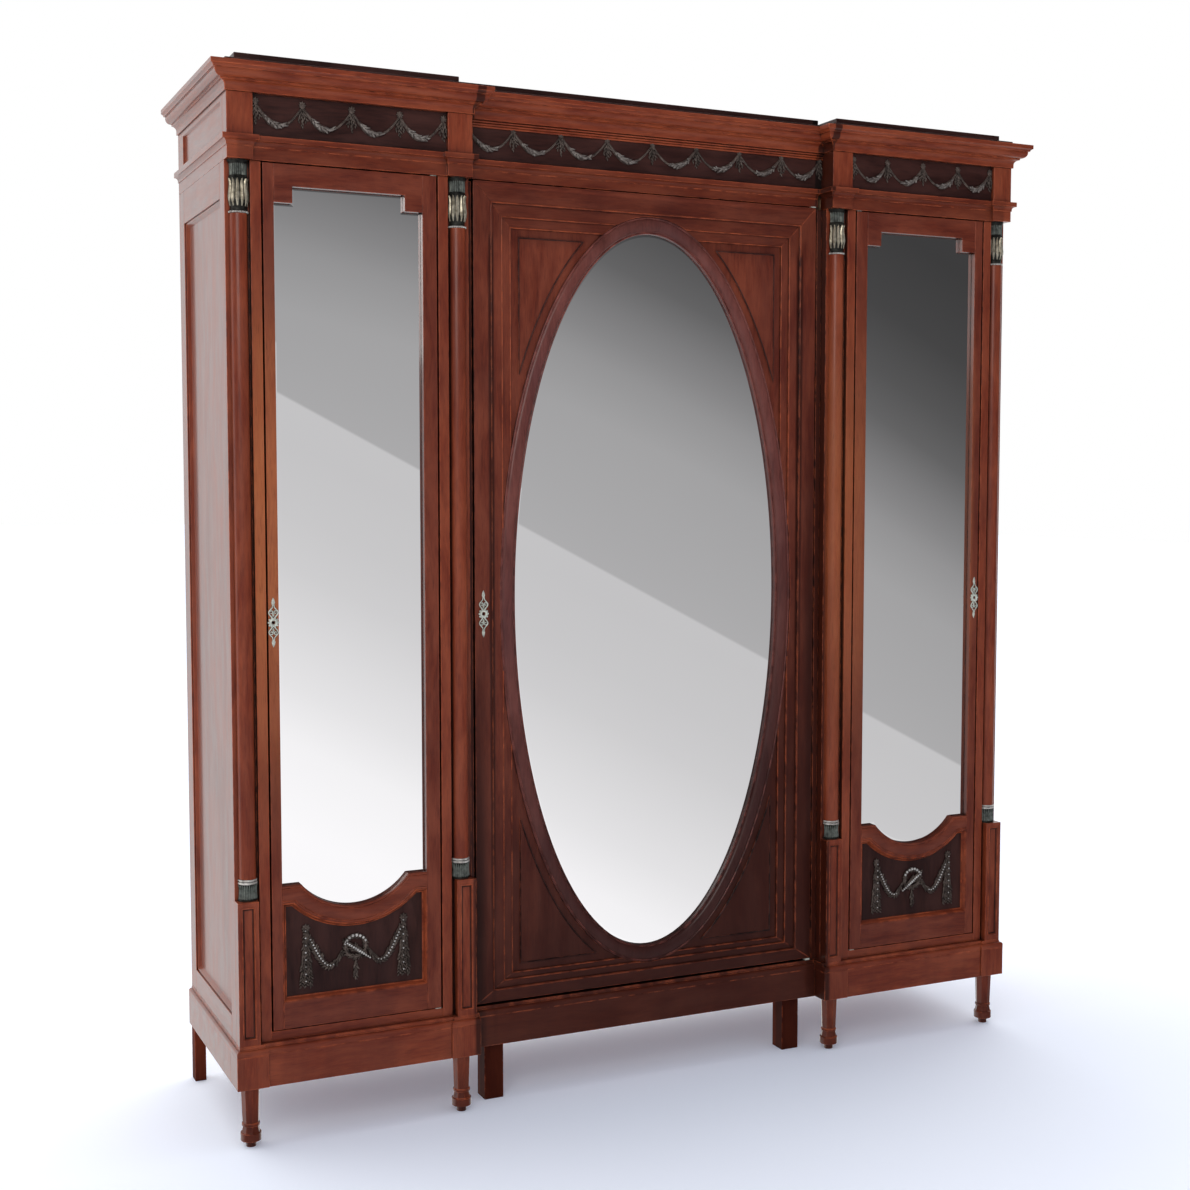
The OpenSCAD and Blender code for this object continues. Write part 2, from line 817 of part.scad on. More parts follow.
module oval_rim() {
  color(mahogany) {
    difference() {
      oval_cut(rim_w, centre_y + 6, centre_y + 22);
      oval_cut(8, centre_y + 5, centre_y + 23);
    }
    difference() {
      oval_cut(rim_w - 6, centre_y + 2, centre_y + 6 + eps);
      oval_cut(14, centre_y + 1, centre_y + 7);
    }
    difference() {
      oval_cut(8 + eps, centre_y + 12, centre_y + 22);
      oval_cut(0, centre_y + 11, centre_y + 23);
    }
  }
}

// The rails' rebates are shallower than the stiles', in the proportion of their widths
mirror_box_x = inner_half + frame_rebate - seam;
mirror_box_rise = frame_rebate * frame_bottom / frame_w - seam;
mirror_box_z = [inner_z[0] - mirror_box_rise, inner_z[1] + mirror_box_rise];

module oval_mirror() {
  color(silvered)
    block([-mirror_box_x, mirror_box_x], [centre_y + 22, centre_y + 22 + mirror_t], mirror_box_z);
}

module centre_mirror_board() {
  color(poplar)
    block([-mirror_box_x, mirror_box_x], [centre_y + 22 + mirror_t, centre_back - 1],
          mirror_box_z);
}

place() front_legs();
place() centre_legs();
place() back_legs();
place() plinth_blocks();
place() plinth_rails();
place() base_boards();
place() door_sills();
place() corner_posts();
place() centre_jambs();
place() pedestals();
place() columns();
place() capitals();
place() column_bases();
place() back_stiles();
place() side_rails();
place() side_panels();
place() partitions();
place() back_panels();
place() ceiling_boards();
place() side_shelves();
place() hat_shelf();
place() hanging_rail();
place() rail_sockets();
place() architrave_fronts();
place() architrave_sides();
place() frieze_blocks();
place() frieze_panels();
place() cornice_fronts();
place() cornice_returns();
place() top_caps();
place() pivot_plates();
for (side = ["left", "right"]) {
  place() on_side(side) side_door_stiles();
  place() on_side(side) side_door_rails();
  place() on_side(side) side_door_panel();
  place() on_side(side) side_mirror();
  place() on_side(side) side_mirror_board();
  place() on_side(side) side_garland();
  place() on_side(side) escutcheon(lock_x, post_y);
  place() on_side(side) lock_case(door_out - 6.5, lock_x, door_back);
  place() on_side(side) lock_bolt(door_out - 6.5, door_back);
}
place() centre_door_stiles();
place() centre_door_rails();
place() centre_spandrels();
place() oval_rim();
place() oval_mirror();
place() centre_mirror_board();
place() on_side("left") escutcheon(centre_lock_x, centre_y);  // centre_escutcheon
place() on_side("left") lock_case(centre_half - 12, centre_lock_x, centre_back);  // centre_lock_case
place() on_side("left") lock_bolt(centre_half - 12, centre_back);  // centre_lock_bolt
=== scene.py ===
# %% [markdown]
# # A three-door armoire with mirrored doors
#
# This lesson dresses a tall mahogany armoire. The joinery itself (posts, rails, doors, mouldings) comes in
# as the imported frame, and each cell adds one thing that the real piece has on top of that: softened edges,
# varnished wood with a grain that runs along each board, cast bronze leaves, bevelled mirror glass.
# Nothing is placed by eye.
import json
import math

import bmesh
import bpy
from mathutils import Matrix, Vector

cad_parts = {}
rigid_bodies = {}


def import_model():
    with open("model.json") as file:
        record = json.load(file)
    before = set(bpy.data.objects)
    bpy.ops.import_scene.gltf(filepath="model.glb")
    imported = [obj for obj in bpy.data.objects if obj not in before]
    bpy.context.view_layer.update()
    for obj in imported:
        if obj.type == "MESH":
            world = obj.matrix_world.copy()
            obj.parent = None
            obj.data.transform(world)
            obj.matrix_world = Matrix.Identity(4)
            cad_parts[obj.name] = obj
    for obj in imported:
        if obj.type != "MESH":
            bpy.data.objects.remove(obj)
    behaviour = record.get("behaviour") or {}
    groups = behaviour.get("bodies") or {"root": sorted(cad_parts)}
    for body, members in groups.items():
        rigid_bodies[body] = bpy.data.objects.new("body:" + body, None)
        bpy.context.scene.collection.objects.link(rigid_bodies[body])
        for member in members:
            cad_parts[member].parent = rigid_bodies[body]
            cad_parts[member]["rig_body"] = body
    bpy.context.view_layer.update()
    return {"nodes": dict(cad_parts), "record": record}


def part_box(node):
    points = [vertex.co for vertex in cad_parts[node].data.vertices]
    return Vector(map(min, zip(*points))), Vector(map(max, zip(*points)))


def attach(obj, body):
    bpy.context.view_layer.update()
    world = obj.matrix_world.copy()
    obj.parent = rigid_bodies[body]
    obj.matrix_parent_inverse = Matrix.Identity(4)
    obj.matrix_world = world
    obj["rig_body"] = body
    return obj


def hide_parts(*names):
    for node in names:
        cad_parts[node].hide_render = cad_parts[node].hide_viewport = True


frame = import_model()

MM = 0.001
SLOT = {part["node"]: part["material_slot"] for part in frame["record"]["subparts"]}

# %% [markdown]
# ## Measuring the frame
#
# The side doors are mirror images of each other, so it's enough to measure the right-hand one. Shapes are
# then worked out once, in plain lists of points, and turned over for the left.

# %% Measure the doors and panels
stile_low, stile_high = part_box("right_door_stiles")
rail_low, rail_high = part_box("right_door_rails")
panel_low, panel_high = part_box("right_door_panel")
mirror_low, mirror_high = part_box("right_mirror")
rim_low, rim_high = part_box("oval_rim")
REBATE = 8 * MM
open_x0, open_x1 = rail_low.x + REBATE, rail_high.x - REBATE
open_mid = (open_x0 + open_x1) / 2
HOLLOW_R = 166 * MM
hollow_z = mirror_low.z + 12 * MM
shoulder_z = hollow_z + 62 * MM
MID_RAIL = 40 * MM
head_z = stile_high.z - 49 * MM
NOTCH_W, NOTCH_H = 43 * MM, 37 * MM
door_face = stile_low.y
panel_face = panel_low.y
RIM_W = 42 * MM
oval_a = rim_high.x - RIM_W
oval_b = (rim_high.z - rim_low.z) / 2 - RIM_W
oval_z = (rim_high.z + rim_low.z) / 2
centre_face = rim_low.y - 2 * MM
print("side mirror opening:", round(open_x1 - open_x0, 4), "m wide")
print("oval half axes:", round(oval_a, 4), round(oval_b, 4), "m")


# %% [markdown]
# ## Small tools for meshes
#
# A mesh is a list of points and a list of faces. `build` makes an object from the two and turns its faces
# outward; `Shape` collects many small solids into one list, so that a string of two hundred beads is still a
# single object. `tube` sweeps a circle along a path, `lathe` turns a profile about an upright axis. `make`
# does the whole of the rest: it builds the object, shades and rounds it, and gives it its finish and body.

# %% Mesh tools
class Shape:
    """Points and faces gathered from many parts, with a material number for each face."""

    def __init__(self):
        self.points, self.faces, self.finish = [], [], []

    def add(self, points, faces, finish=0):
        start = len(self.points)
        self.points += [Vector(p) for p in points]
        self.faces += [[start + i for i in face] for face in faces]
        self.finish += [finish] * len(faces)
        return self

    def add_mesh(self, mesh, move=(0, 0, 0), turn_over=False, finish=0):
        move = Vector(move)
        points = [v.co + move for v in mesh.vertices]
        if turn_over:
            points = [Vector((-p.x, p.y, p.z)) for p in points]
        self.add(points, [list(f.vertices) for f in mesh.polygons], finish)
        return self

    def turned_over(self):
        other = Shape()
        other.points = [Vector((-p.x, p.y, p.z)) for p in self.points]
        other.faces = [face[::-1] for face in self.faces]
        other.finish = list(self.finish)
        return other

    def on(self, side):
        """The shape for one side of the armoire; every shape is made for the right."""
        return self if side == "right" else self.turned_over()

    def put(self, other, place):
        """Adds another shape with each of its points moved by a function."""
        return self.add([place(p) for p in other.points], other.faces)


def build(name, shape, outward=True):
    mesh = bpy.data.meshes.new(name)
    mesh.from_pydata([tuple(p) for p in shape.points], [], shape.faces)
    mesh.polygons.foreach_set("material_index", shape.finish)
    if outward:
        bm = bmesh.new()
        bm.from_mesh(mesh)
        bmesh.ops.recalc_face_normals(bm, faces=bm.faces)
        bm.to_mesh(mesh)
        bm.free()
    mesh.update()
    obj = bpy.data.objects.new(name, mesh)
    bpy.context.scene.collection.objects.link(obj)
    return obj


def rings(loops, closed_path=False):
    """Faces that join loops of equal length; the ends are capped unless the path is closed."""
    count = len(loops[0])
    points = [p for loop in loops for p in loop]
    faces = []
    for i in range(len(loops) if closed_path else len(loops) - 1):
        j = (i + 1) % len(loops)
        for k in range(count):
            m = (k + 1) % count
            faces.append([i * count + k, i * count + m, j * count + m, j * count + k])
    if not closed_path:
        faces.append(list(range(count))[::-1])
        faces.append([(len(loops) - 1) * count + k for k in range(count)])
    return points, faces


def tube(path, radius, sides=8, flat=1.0, closed=False):
    """A rod along a path in the X-Z plane, mitred at its corners; radius is one number or one per point."""
    path = [Vector(p) for p in path]
    last = len(path) - 1
    loops = []
    for i, p in enumerate(path):
        legs = []
        if i > 0 or closed:
            legs.append((p - path[i - 1]).normalized())
        if i < last or closed:
            legs.append((path[(i + 1) % len(path)] - p).normalized())
        along = sum(legs, Vector()).normalized()
        stretch = 1 / max(along.dot(legs[0]), 0.6)
        across = Vector((-along.z, 0, along.x)) * stretch
        r = radius[i] if isinstance(radius, (list, tuple)) else radius
        loops.append([p + across * r * math.cos(t) + Vector((0, -flat * r * math.sin(t), 0))
                      for t in [2 * math.pi * k / sides for k in range(sides)]])
    return rings(loops, closed_path=closed)


def ring_tube(centre, half_w, half_h, radius, count=28, sides=8):
    """A closed oval ring standing in the X-Z plane."""
    loops = []
    for i in range(count):
        a = 2 * math.pi * i / count
        out = Vector((math.cos(a), 0, math.sin(a)))
        p = Vector(centre) + Vector((half_w * out.x, 0, half_h * out.z))
        loops.append([p + out * radius * math.cos(t) + Vector((0, -radius * math.sin(t), 0))
                      for t in [2 * math.pi * k / sides for k in range(sides)]])
    return rings(loops, closed_path=True)


def lathe(profile, centre, sweep=math.pi, count=24):
    """Turns (radius, height) pairs about an upright axis, the middle of the sweep facing -Y."""
    steps = count if sweep > 6.28 else count + 1
    loops = []
    for i in range(steps):
        a = sweep * (i / count - 0.5)
        loops.append([Vector(centre) + Vector((r * math.sin(a), -r * math.cos(a), z)) for r, z in profile])
    return rings(loops, closed_path=sweep > 6.28)


def smooth(obj, angle):
    """Smooth shading, with a hard edge wherever two faces meet at more than the angle in degrees."""
    for face in obj.data.polygons:
        face.use_smooth = True
    if angle < 180:
        obj.data.set_sharp_from_angle(angle=math.radians(angle))


def soften(obj, width, segments=2):
    """A live bevel: the small rounding that sanding and a century of handling leave on every arris."""
    bevel = obj.modifiers.new("Rounded arrises", "BEVEL")
    bevel.width = width * MM
    bevel.segments = segments
    bevel.limit_method = "ANGLE"
    bevel.angle_limit = math.radians(32)
    bevel.harden_normals = True
    bevel.use_clamp_overlap = False


def settle(obj, finishes, body, *nodes, slot=None):
    """Gives a finished piece its materials and its body, and hides the frame nodes that it stands for."""
    for finish in (finishes if isinstance(finishes, (list, tuple)) else [finishes]):
        obj.data.materials.append(finish)
    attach(obj, body)
    if nodes:
        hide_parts(*nodes)
    return obj


def make(name, shape, finishes, body, *nodes, slot=None, angle=50, rounding=0, segments=2):
    """The whole way from points to a finished piece; an angle of 0 leaves its faces flat."""
    piece = build(name, shape)
    if angle:
        smooth(piece, angle)
    if rounding:
        soften(piece, rounding, segments)
    print(name, len(piece.data.polygons), "faces")
    return settle(piece, finishes, body, *nodes, slot=slot)


# %% [markdown]
# ## Wiring nodes from a script
#
# A few short functions keep the node trees readable. `add` makes a node and feeds its inputs, `calc` is one
# sum, `times`, `plus` and `most` join any number of masks. A socket knows which tree it belongs to, so the
# sums need not be told. Effects that several finishes share are node groups, the way a painter keeps a glaze
# in a jar: grain, a lighter tone at chest height with painted shade in the recesses, painted shade in the
# corners, wear and painted highlight on the arrises, tarnish.

# %% Node wiring tools
def is_socket(value):
    return isinstance(value, bpy.types.NodeSocket)


def feed(node, values):
    """Fills a node's inputs: a socket is linked, anything else becomes the input's own value."""
    for key, value in values.items():
        if is_socket(value):
            node.id_data.links.new(value, node.inputs[key])
        else:
            node.inputs[key].default_value = value


def add(tree, kind, feeds=None, **settings):
    node = tree.nodes.new(kind)
    for key, value in settings.items():
        setattr(node, key, value)
    feed(node, feeds or {})
    return node


def calc(operation, *values, clamp=False):
    tree = next(value for value in values if is_socket(value)).id_data
    node = add(tree, "ShaderNodeMath", dict(enumerate(values)), operation=operation, use_clamp=clamp)
    return node.outputs[0]


def chain(operation):
    """A function that joins any number of values with one kind of sum, from left to right."""
    def joined(first, *others):
        for other in others:
            first = calc(operation, first, other)
        return first
    return joined


times, plus, minus, most = [chain(word) for word in ("MULTIPLY", "ADD", "SUBTRACT", "MAXIMUM")]


def step(value, low, high):
    """0 below low, 1 above high, and a smooth slope between (or the other way round if low > high)."""
    ends = {1: low, 2: high, 3: 0.0, 4: 1.0} if low < high else {1: high, 2: low, 3: 1.0, 4: 0.0}
    node = add(value.id_data, "ShaderNodeMapRange", {0: value, **ends}, interpolation_type="SMOOTHSTEP")
    return node.outputs[0]


def slope(value, **ends):
    """A straight, clamped slope; the ends are named from_low, from_high, to_low and to_high."""
    places = {"from_low": 1, "from_high": 2, "to_low": 3, "to_high": 4}
    feeds = {0: value, **{places[word]: end for word, end in ends.items()}}
    return add(value.id_data, "ShaderNodeMapRange", feeds).outputs[0]


def noise(where, scale, detail=2.0, rough=0.5, warp=0.0):
    return add(where.id_data, "ShaderNodeTexNoise", {"Vector": where, "Scale": scale, "Detail": detail,
                                                     "Roughness": rough, "Distortion": warp}).outputs["Fac"]


def drawn_out(where, share):
    """The position squeezed along Z, so that a pattern on it is drawn out that way."""
    return add(where.id_data, "ShaderNodeMapping", {"Vector": where, "Scale": (1, 1, share)}).outputs[0]


def blend(amount, a, b):
    """From colour a to colour b by an amount; each is a socket or a triple."""
    a, b = [c if is_socket(c) else (*c, 1) for c in (a, b)]
    return add(amount.id_data, "ShaderNodeMix", {0: amount, 6: a, 7: b}, data_type="RGBA").outputs[2]


def colour_ramp(amount, stops):
    node = add(amount.id_data, "ShaderNodeValToRGB", {0: amount})
    ramp = node.color_ramp
    while len(ramp.elements) < len(stops):
        ramp.elements.new(0.5)
    for element, (place, colour) in zip(ramp.elements, stops):
        element.position = place
        element.color = (*colour, 1) if isinstance(colour, tuple) else (colour, colour, colour, 1)
    return node.outputs["Color"]


def new_group(name, inputs, outputs, kind="ShaderNodeTree"):
    """A node group with named sockets; gives back its tree, its input node and its output node."""
    tree = bpy.data.node_groups.new(name, kind)
    for label, socket_type, value in inputs:
        socket = tree.interface.new_socket(label, in_out="INPUT", socket_type=socket_type)
        if value is not None:
            socket.default_value = value
    for label, socket_type in outputs:
        tree.interface.new_socket(label, in_out="OUTPUT", socket_type=socket_type)
    return tree, tree.nodes.new("NodeGroupInput"), tree.nodes.new("NodeGroupOutput")


def use_group(tree, group, **feeds):
    return add(tree, "ShaderNodeGroup", feeds, node_tree=group).outputs


def new_material(name):
    """A material with what every finish needs: its tree, its shader and the position on the object."""
    material = bpy.data.materials.new(name)
    material.use_nodes = True
    tree = material.node_tree
    here = add(tree, "ShaderNodeTexCoord").outputs["Object"]
    return material, tree, tree.nodes["Principled BSDF"], here


VEC, NUM, COL, INT = "NodeSocketVector", "NodeSocketFloat", "NodeSocketColor", "NodeSocketInt"

# %% [markdown]
# ## Grain
#
# Mahogany shows three things at once: fine streaks a few millimetres wide, broad ribbons where the fibres
# lean left and right in turn, and open pores like short dark scratches. All are noise stretched along the
# board. The group expects a position whose Z runs along the grain, so each finish turns the object's
# coordinates first, and a rail gets grain along the rail.

# %% Grain group
grain, g_in, g_out = new_group(
    "Mahogany grain", [("Along", VEC, None), ("Fineness", NUM, 1.0)],
    [("Streaks", NUM), ("Ribbon", NUM), ("Pores", NUM)])
where = g_in.outputs["Along"]
drift = add(grain, "ShaderNodeTexNoise", {"Vector": where, "Scale": 3.5, "Detail": 2.0}).outputs["Color"]
drift = add(grain, "ShaderNodeVectorMath", {0: drift, 1: (0.5, 0.5, 0.5)}, operation="SUBTRACT").outputs[0]
drift = add(grain, "ShaderNodeVectorMath", {0: drift, 3: 0.05}, operation="SCALE").outputs[0]
bent = add(grain, "ShaderNodeVectorMath", {0: where, 1: drift}, operation="ADD").outputs[0]
fine = times(g_in.outputs["Fineness"], 190.0)
feed(g_out, {"Streaks": step(noise(drawn_out(bent, 0.06), fine, 5.0, 0.68), 0.30, 0.70),
             "Ribbon": step(noise(drawn_out(bent, 0.22), 26.0, 4.0, 0.6), 0.30, 0.72),
             "Pores": step(noise(drawn_out(where, 0.025), 1100.0, 1.0), 0.60, 0.70)})
print("grain group:", len(grain.nodes), "nodes")

# %% [markdown]
# ## A lighter tone at chest height, and painted shade
#
# Towards chest height the varnished mahogany turns lighter and oranger, here on the outer stiles of the
# doors and one inner stile. Painted shade darkens the recessed middle: more towards the floor, along the
# edges of the centre door, on the jambs and in the groove of its frame. The centre door's top rail and the
# architrave get painted shade too, and the feet get darker towards the floor. The patina is old polish that
# has gone cloudy. Every mask depends only on where a point is on the armoire, in metres.

# %% Chest tone and painted shade group
tone_and_shade, f_in, f_out = new_group("Wood fading", [("Position", VEC, None)],
                                [("Lighter_at_chest", NUM), ("Deep", NUM), ("Patina", NUM)])
spot = f_in.outputs["Position"]
split = add(tone_and_shade, "ShaderNodeSeparateXYZ", {0: spot})
across, up = split.outputs["X"], split.outputs["Z"]
side = calc("ABSOLUTE", across)
middle = step(side, 0.512, 0.502)
front = step(split.outputs["Y"], -0.130, -0.155)

# Lighter, oranger wood at chest height on the outer stiles and one inner stile.
chest = times(step(up, 0.62, 1.30), step(up, 2.15, 1.55))
outer_stiles = times(step(side, 0.93, 0.96), step(side, 1.032, 1.018), step(across, 0.985, 0.955))
inner_stile = times(step(across, 0.49, 0.52), step(across, 0.66, 0.60), 0.6)
patchy = plus(0.55, times(noise(spot, 5.0, 3.0), 0.9))
lighter_at_chest = calc("MULTIPLY", times(chest, most(outer_stiles, inner_stile)), patchy, clamp=True)

# Painted shade: the recessed middle darker towards the floor and along the centre door's edges, the jambs,
# the groove of its frame, the architrave and the centre door's top rail; the feet darker towards the floor.
foot = times(step(side, 0.505, 0.49), step(minus(up, times(across, 0.7)), 1.5, 0.30), 0.86)
left_edge = times(step(across, 0.0, -0.1), step(up, 1.40, 0.60))
right_edge = times(step(across, 0.0, 0.1), step(up, 2.15, 1.05))
edges = times(step(side, 0.415, 0.475), middle, most(left_edge, right_edge))
jambs = times(step(side, 0.4785, 0.4815), step(side, 0.5015, 0.5005))
groove = times(step(side, 0.424, 0.430), step(side, 0.446, 0.440), 0.85, step(up, 2.15, 2.11))
feet = times(step(up, 0.15, 0.04), 0.5)
architrave = times(step(up, 2.240, 2.250), step(up, 2.300, 2.290), front, step(side, 1.06, 1.05), 0.38)
top_rail = times(step(up, 2.09, 2.13), step(up, 2.240, 2.235), front, middle, 0.30)
deep = most(times(most(foot, edges, jambs, groove), front), feet, architrave, top_rail)

cloudy = step(noise(drawn_out(spot, 0.4), 5.5, 5.0, 0.6, 0.4), 0.40, 0.68)
feed(f_out, {"Lighter_at_chest": lighter_at_chest, "Deep": deep, "Patina": times(cloudy, step(up, 2.35, 2.20))})

# %% [markdown]
# ## Painted shade in corners, wear and painted highlight on arrises
#
# Corners that see little of the sky are painted nearly black, as painted shade; on the arrises the colour is
# rubbed through and lighter, as wear and a painted highlight. Ambient occlusion finds the first (how much of
# the sky a point sees), and the difference between the true normal and a rounded one finds the second.

# %% Painted shade and arris highlight groups
# Painted shade: corners that see little of the sky turn nearly black.
corner_shade_group, m_in, m_out = new_group("Painted_shade in corners", [("Reach", NUM, 0.02)], [("Mask", NUM)])
sky = add(corner_shade_group, "ShaderNodeAmbientOcclusion", {"Distance": m_in.outputs["Reach"]}, samples=6)
feed(m_out, {"Mask": step(sky.outputs["AO"], 0.74, 0.16)})

# Lighter colour on the arrises: wear, and a painted highlight.
wear_and_highlight, w_in, w_out = new_group("Wear_and_highlight on arrises", [("Position", VEC, None), ("Reach", NUM, 0.003)],
                              [("Mask", NUM)])
rounded = add(wear_and_highlight, "ShaderNodeBevel", {"Radius": w_in.outputs["Reach"]}, samples=4).outputs[0]
facing = add(wear_and_highlight, "ShaderNodeNewGeometry").outputs["Normal"]
same = add(wear_and_highlight, "ShaderNodeVectorMath", {0: rounded, 1: facing}, operation="DOT_PRODUCT").outputs["Value"]
broken_up = step(noise(w_in.outputs["Position"], 38.0, 4.0), 0.38, 0.62)
feed(w_out, {"Mask": times(step(same, 0.995, 0.93), broken_up)})

# %% [markdown]
# ## Varnished mahogany
#
# One function makes every wooden finish. The colour is laid on in layers, each with a mask and a share:
# ribbons over streaks, patina, the lighter tone at chest height, painted shade in the recesses, pores,
# painted shade in the corners, and bare wood with a painted highlight on the rubbed arrises. The clear coat
# is the
# French polish; its strength is a plain number, and it is duller in the corners.

# %% Wood finishes
TURN = {"z": (0, 0, 0), "x": (0, math.pi / 2, 0), "y": (math.pi / 2, 0, 0)}
# Nearly black, the colour of the painted shade in the corners.
CORNER_SHADE_BLACK = (0.006, 0.0035, 0.003)


def wood(name, axis, tones, coat=0.7, rough=0.38, shine=0.35, chest_share=1.0, patina_and_shade_share=1.0):
    dark, mid, light, chest_colour = tones
    material, tree, shader, here = new_material(name)
    along = add(tree, "ShaderNodeMapping", {"Vector": here, "Rotation": TURN[axis]}).outputs[0]
    fibres = use_group(tree, grain, Along=along)
    # The lighter tone at chest height, the patina, and the painted shade of the recesses.
    zone_masks = use_group(tree, tone_and_shade, Position=here)
    # Painted shade in the corners; the same mask makes the coat duller there.
    corner_shade = use_group(tree, corner_shade_group, Reach=0.018)["Mask"]
    # Wear and a painted highlight on the arrises.
    rubbed_and_lit = use_group(tree, wear_and_highlight, Position=here, Reach=0.0028)["Mask"]
    smoky = (dark[0] * 0.62, dark[1] * 0.75, dark[2] * 1.3)
    chest_mix = blend(times(fibres["Streaks"], 0.55), chest_colour, light)
    body = blend(fibres["Streaks"], dark, mid)
    for mask, share, colour in (
            (fibres["Ribbon"], 0.75, light),
            (zone_masks["Patina"], 0.40 * patina_and_shade_share, smoky),
            (zone_masks["Lighter_at_chest"], chest_share, chest_mix),
            (zone_masks["Deep"], 0.86 * patina_and_shade_share, [c * 0.22 for c in dark]),
            (fibres["Pores"], 0.45, [c * 0.4 for c in dark]),
            (corner_shade, 0.93, CORNER_SHADE_BLACK),
            (rubbed_and_lit, 0.7, [min(c * 1.9, 1) for c in light])):
        body = blend(times(mask, share), body, colour)
    height = minus(times(fibres["Streaks"], 0.3), fibres["Pores"])
    bump = add(tree, "ShaderNodeBump", {"Height": height, "Strength": 0.12, "Distance": 0.0004})
    feed(shader, {
        "Base Color": body, "Normal": bump.outputs[0],
        "Roughness": plus(rough - 0.05, times(fibres["Ribbon"], 0.12), times(corner_shade, 0.3)),
        "Specular IOR Level": shine, "Coat Weight": coat, "Coat Roughness": 0.13, "Coat IOR": 1.33})
    return material


# Dark streak, middle tone, light ribbon, and the lighter colour that it takes at chest height.
RED = ((0.135, 0.019, 0.007), (0.222, 0.035, 0.011), (0.32, 0.064, 0.019), (0.40, 0.115, 0.034))
DOOR = ((0.100, 0.015, 0.007), (0.165, 0.027, 0.010), (0.25, 0.050, 0.018), (0.40, 0.115, 0.034))
NIGHT = ((0.022, 0.0065, 0.005), (0.046, 0.013, 0.009), (0.074, 0.021, 0.014), (0.08, 0.024, 0.015))
RIM = ((0.100, 0.026, 0.019), (0.165, 0.043, 0.031), (0.22, 0.062, 0.045), (0.22, 0.062, 0.045))
PALE = ((0.22, 0.12, 0.06), (0.36, 0.21, 0.11), (0.44, 0.28, 0.16), (0.40, 0.25, 0.14))
KINDS = {
    "mahogany": ("Mahogany_", RED, {}),
    "door_mahogany": ("Door_mahogany_", DOOR, {}),
    "dark_mahogany": ("Dark_mahogany_", NIGHT, dict(coat=0.1, rough=0.42, chest_share=0.3)),
    "matte": ("Mahogany_oiled_", DOOR, dict(coat=0.0, rough=0.62, shine=0.05)),
    "rim": ("Rim_mahogany_", RIM, dict(chest_share=0.0)),
    "poplar": ("Poplar_", PALE, dict(coat=0.0, rough=0.62, chest_share=0.2, patina_and_shade_share=0.0)),
}
WOODS = {}
for axis, word in (("z", "upright"), ("x", "level"), ("y", "deep")):
    for kind, (name, tones, settings) in KINDS.items():
        WOODS[kind, axis] = wood(name + word, axis, tones, **settings)
print("wood finishes:", len(WOODS))

# %% [markdown]
# ## Bronze, brass and mirror
#
# The cast ornaments were gilt once. What is left of the gilding shines on the high places, the rest is
# brown-green tarnish, so the finish mixes two metals by noise. The hollows get dull tarnish, and painted
# shade darkens them nearly to black. The lock fittings are a paler, washed brass. Mirror glass is a metal
# with no roughness at all; old silvering adds a faint cloudiness to its colour.

# %% Metal and mirror finishes
tarnish, t_in, t_out = new_group(
    "Tarnish", [("Position", VEC, None), ("Bright", COL, (0.6, 0.5, 0.3, 1)),
                ("Dull", COL, (0.1, 0.09, 0.06, 1)), ("Amount", NUM, 0.5)],
    [("Colour", COL), ("Roughness", NUM)])
cloud = noise(t_in.outputs["Position"], 95.0, 5.0, 0.6)
spread = slope(cloud, from_low=0.30, from_high=0.70)
dull = calc("ADD", minus(t_in.outputs["Amount"], 0.5), spread, clamp=True)
# Hollows of the castings: dull tarnish, and painted shade nearly to black.
hollow_shade = use_group(tarnish, corner_shade_group, Reach=0.0035)["Mask"]
dull = most(dull, hollow_shade)
tone = blend(dull, t_in.outputs["Bright"], t_in.outputs["Dull"])
feed(t_out, {"Colour": blend(times(hollow_shade, 0.7), tone, (0.010, 0.009, 0.007)),
             "Roughness": slope(dull, to_low=0.26, to_high=0.58)})


def metal(name, bright, dull, amount, strength):
    """A bright and a dull tone, the share of the dull one, and how metallic the whole looks."""
    material, tree, shader, here = new_material(name)
    skin = use_group(tree, tarnish, Position=here, Bright=(*bright, 1), Dull=(*dull, 1), Amount=amount)
    pits = noise(here, 600.0, 3.0)
    bump = add(tree, "ShaderNodeBump", {"Height": pits, "Strength": 0.15, "Distance": 0.0004})
    feed(shader, {"Base Color": skin["Colour"], "Roughness": skin["Roughness"], "Normal": bump.outputs[0],
                  "Metallic": strength})
    return material


bronze = metal("Bronze_gilt_worn", (0.80, 0.72, 0.54), (0.15, 0.115, 0.065), 0.40, 0.6)
bronze_dark = metal("Bronze_dark", (0.24, 0.26, 0.22), (0.060, 0.066, 0.054), 0.50, 0.35)
bronze_swag = metal("Bronze_swags", (0.20, 0.150, 0.120), (0.040, 0.026, 0.020), 0.50, 0.3)
# A lighter bronze for the frieze sprays: a painted highlight.
bronze_highlight = metal("Bronze_frieze_highlight", (0.42, 0.37, 0.32), (0.085, 0.060, 0.050), 0.55, 0.3)
bronze_pale = metal("Bronze_pale", (0.78, 0.74, 0.66), (0.16, 0.11, 0.085), 0.36, 0.3)
bronze_black = metal("Bronze_black", (0.055, 0.052, 0.040), (0.008, 0.0075, 0.006), 0.60, 0.4)
# Near-white beads: a painted glint on each bead.
bead_glint = metal("Bronze_beads_glint", (0.86, 0.83, 0.77), (0.20, 0.17, 0.145), 0.38, 0.3)
brass = metal("Brass_washed", (0.78, 0.80, 0.68), (0.40, 0.42, 0.34), 0.30, 0.25)

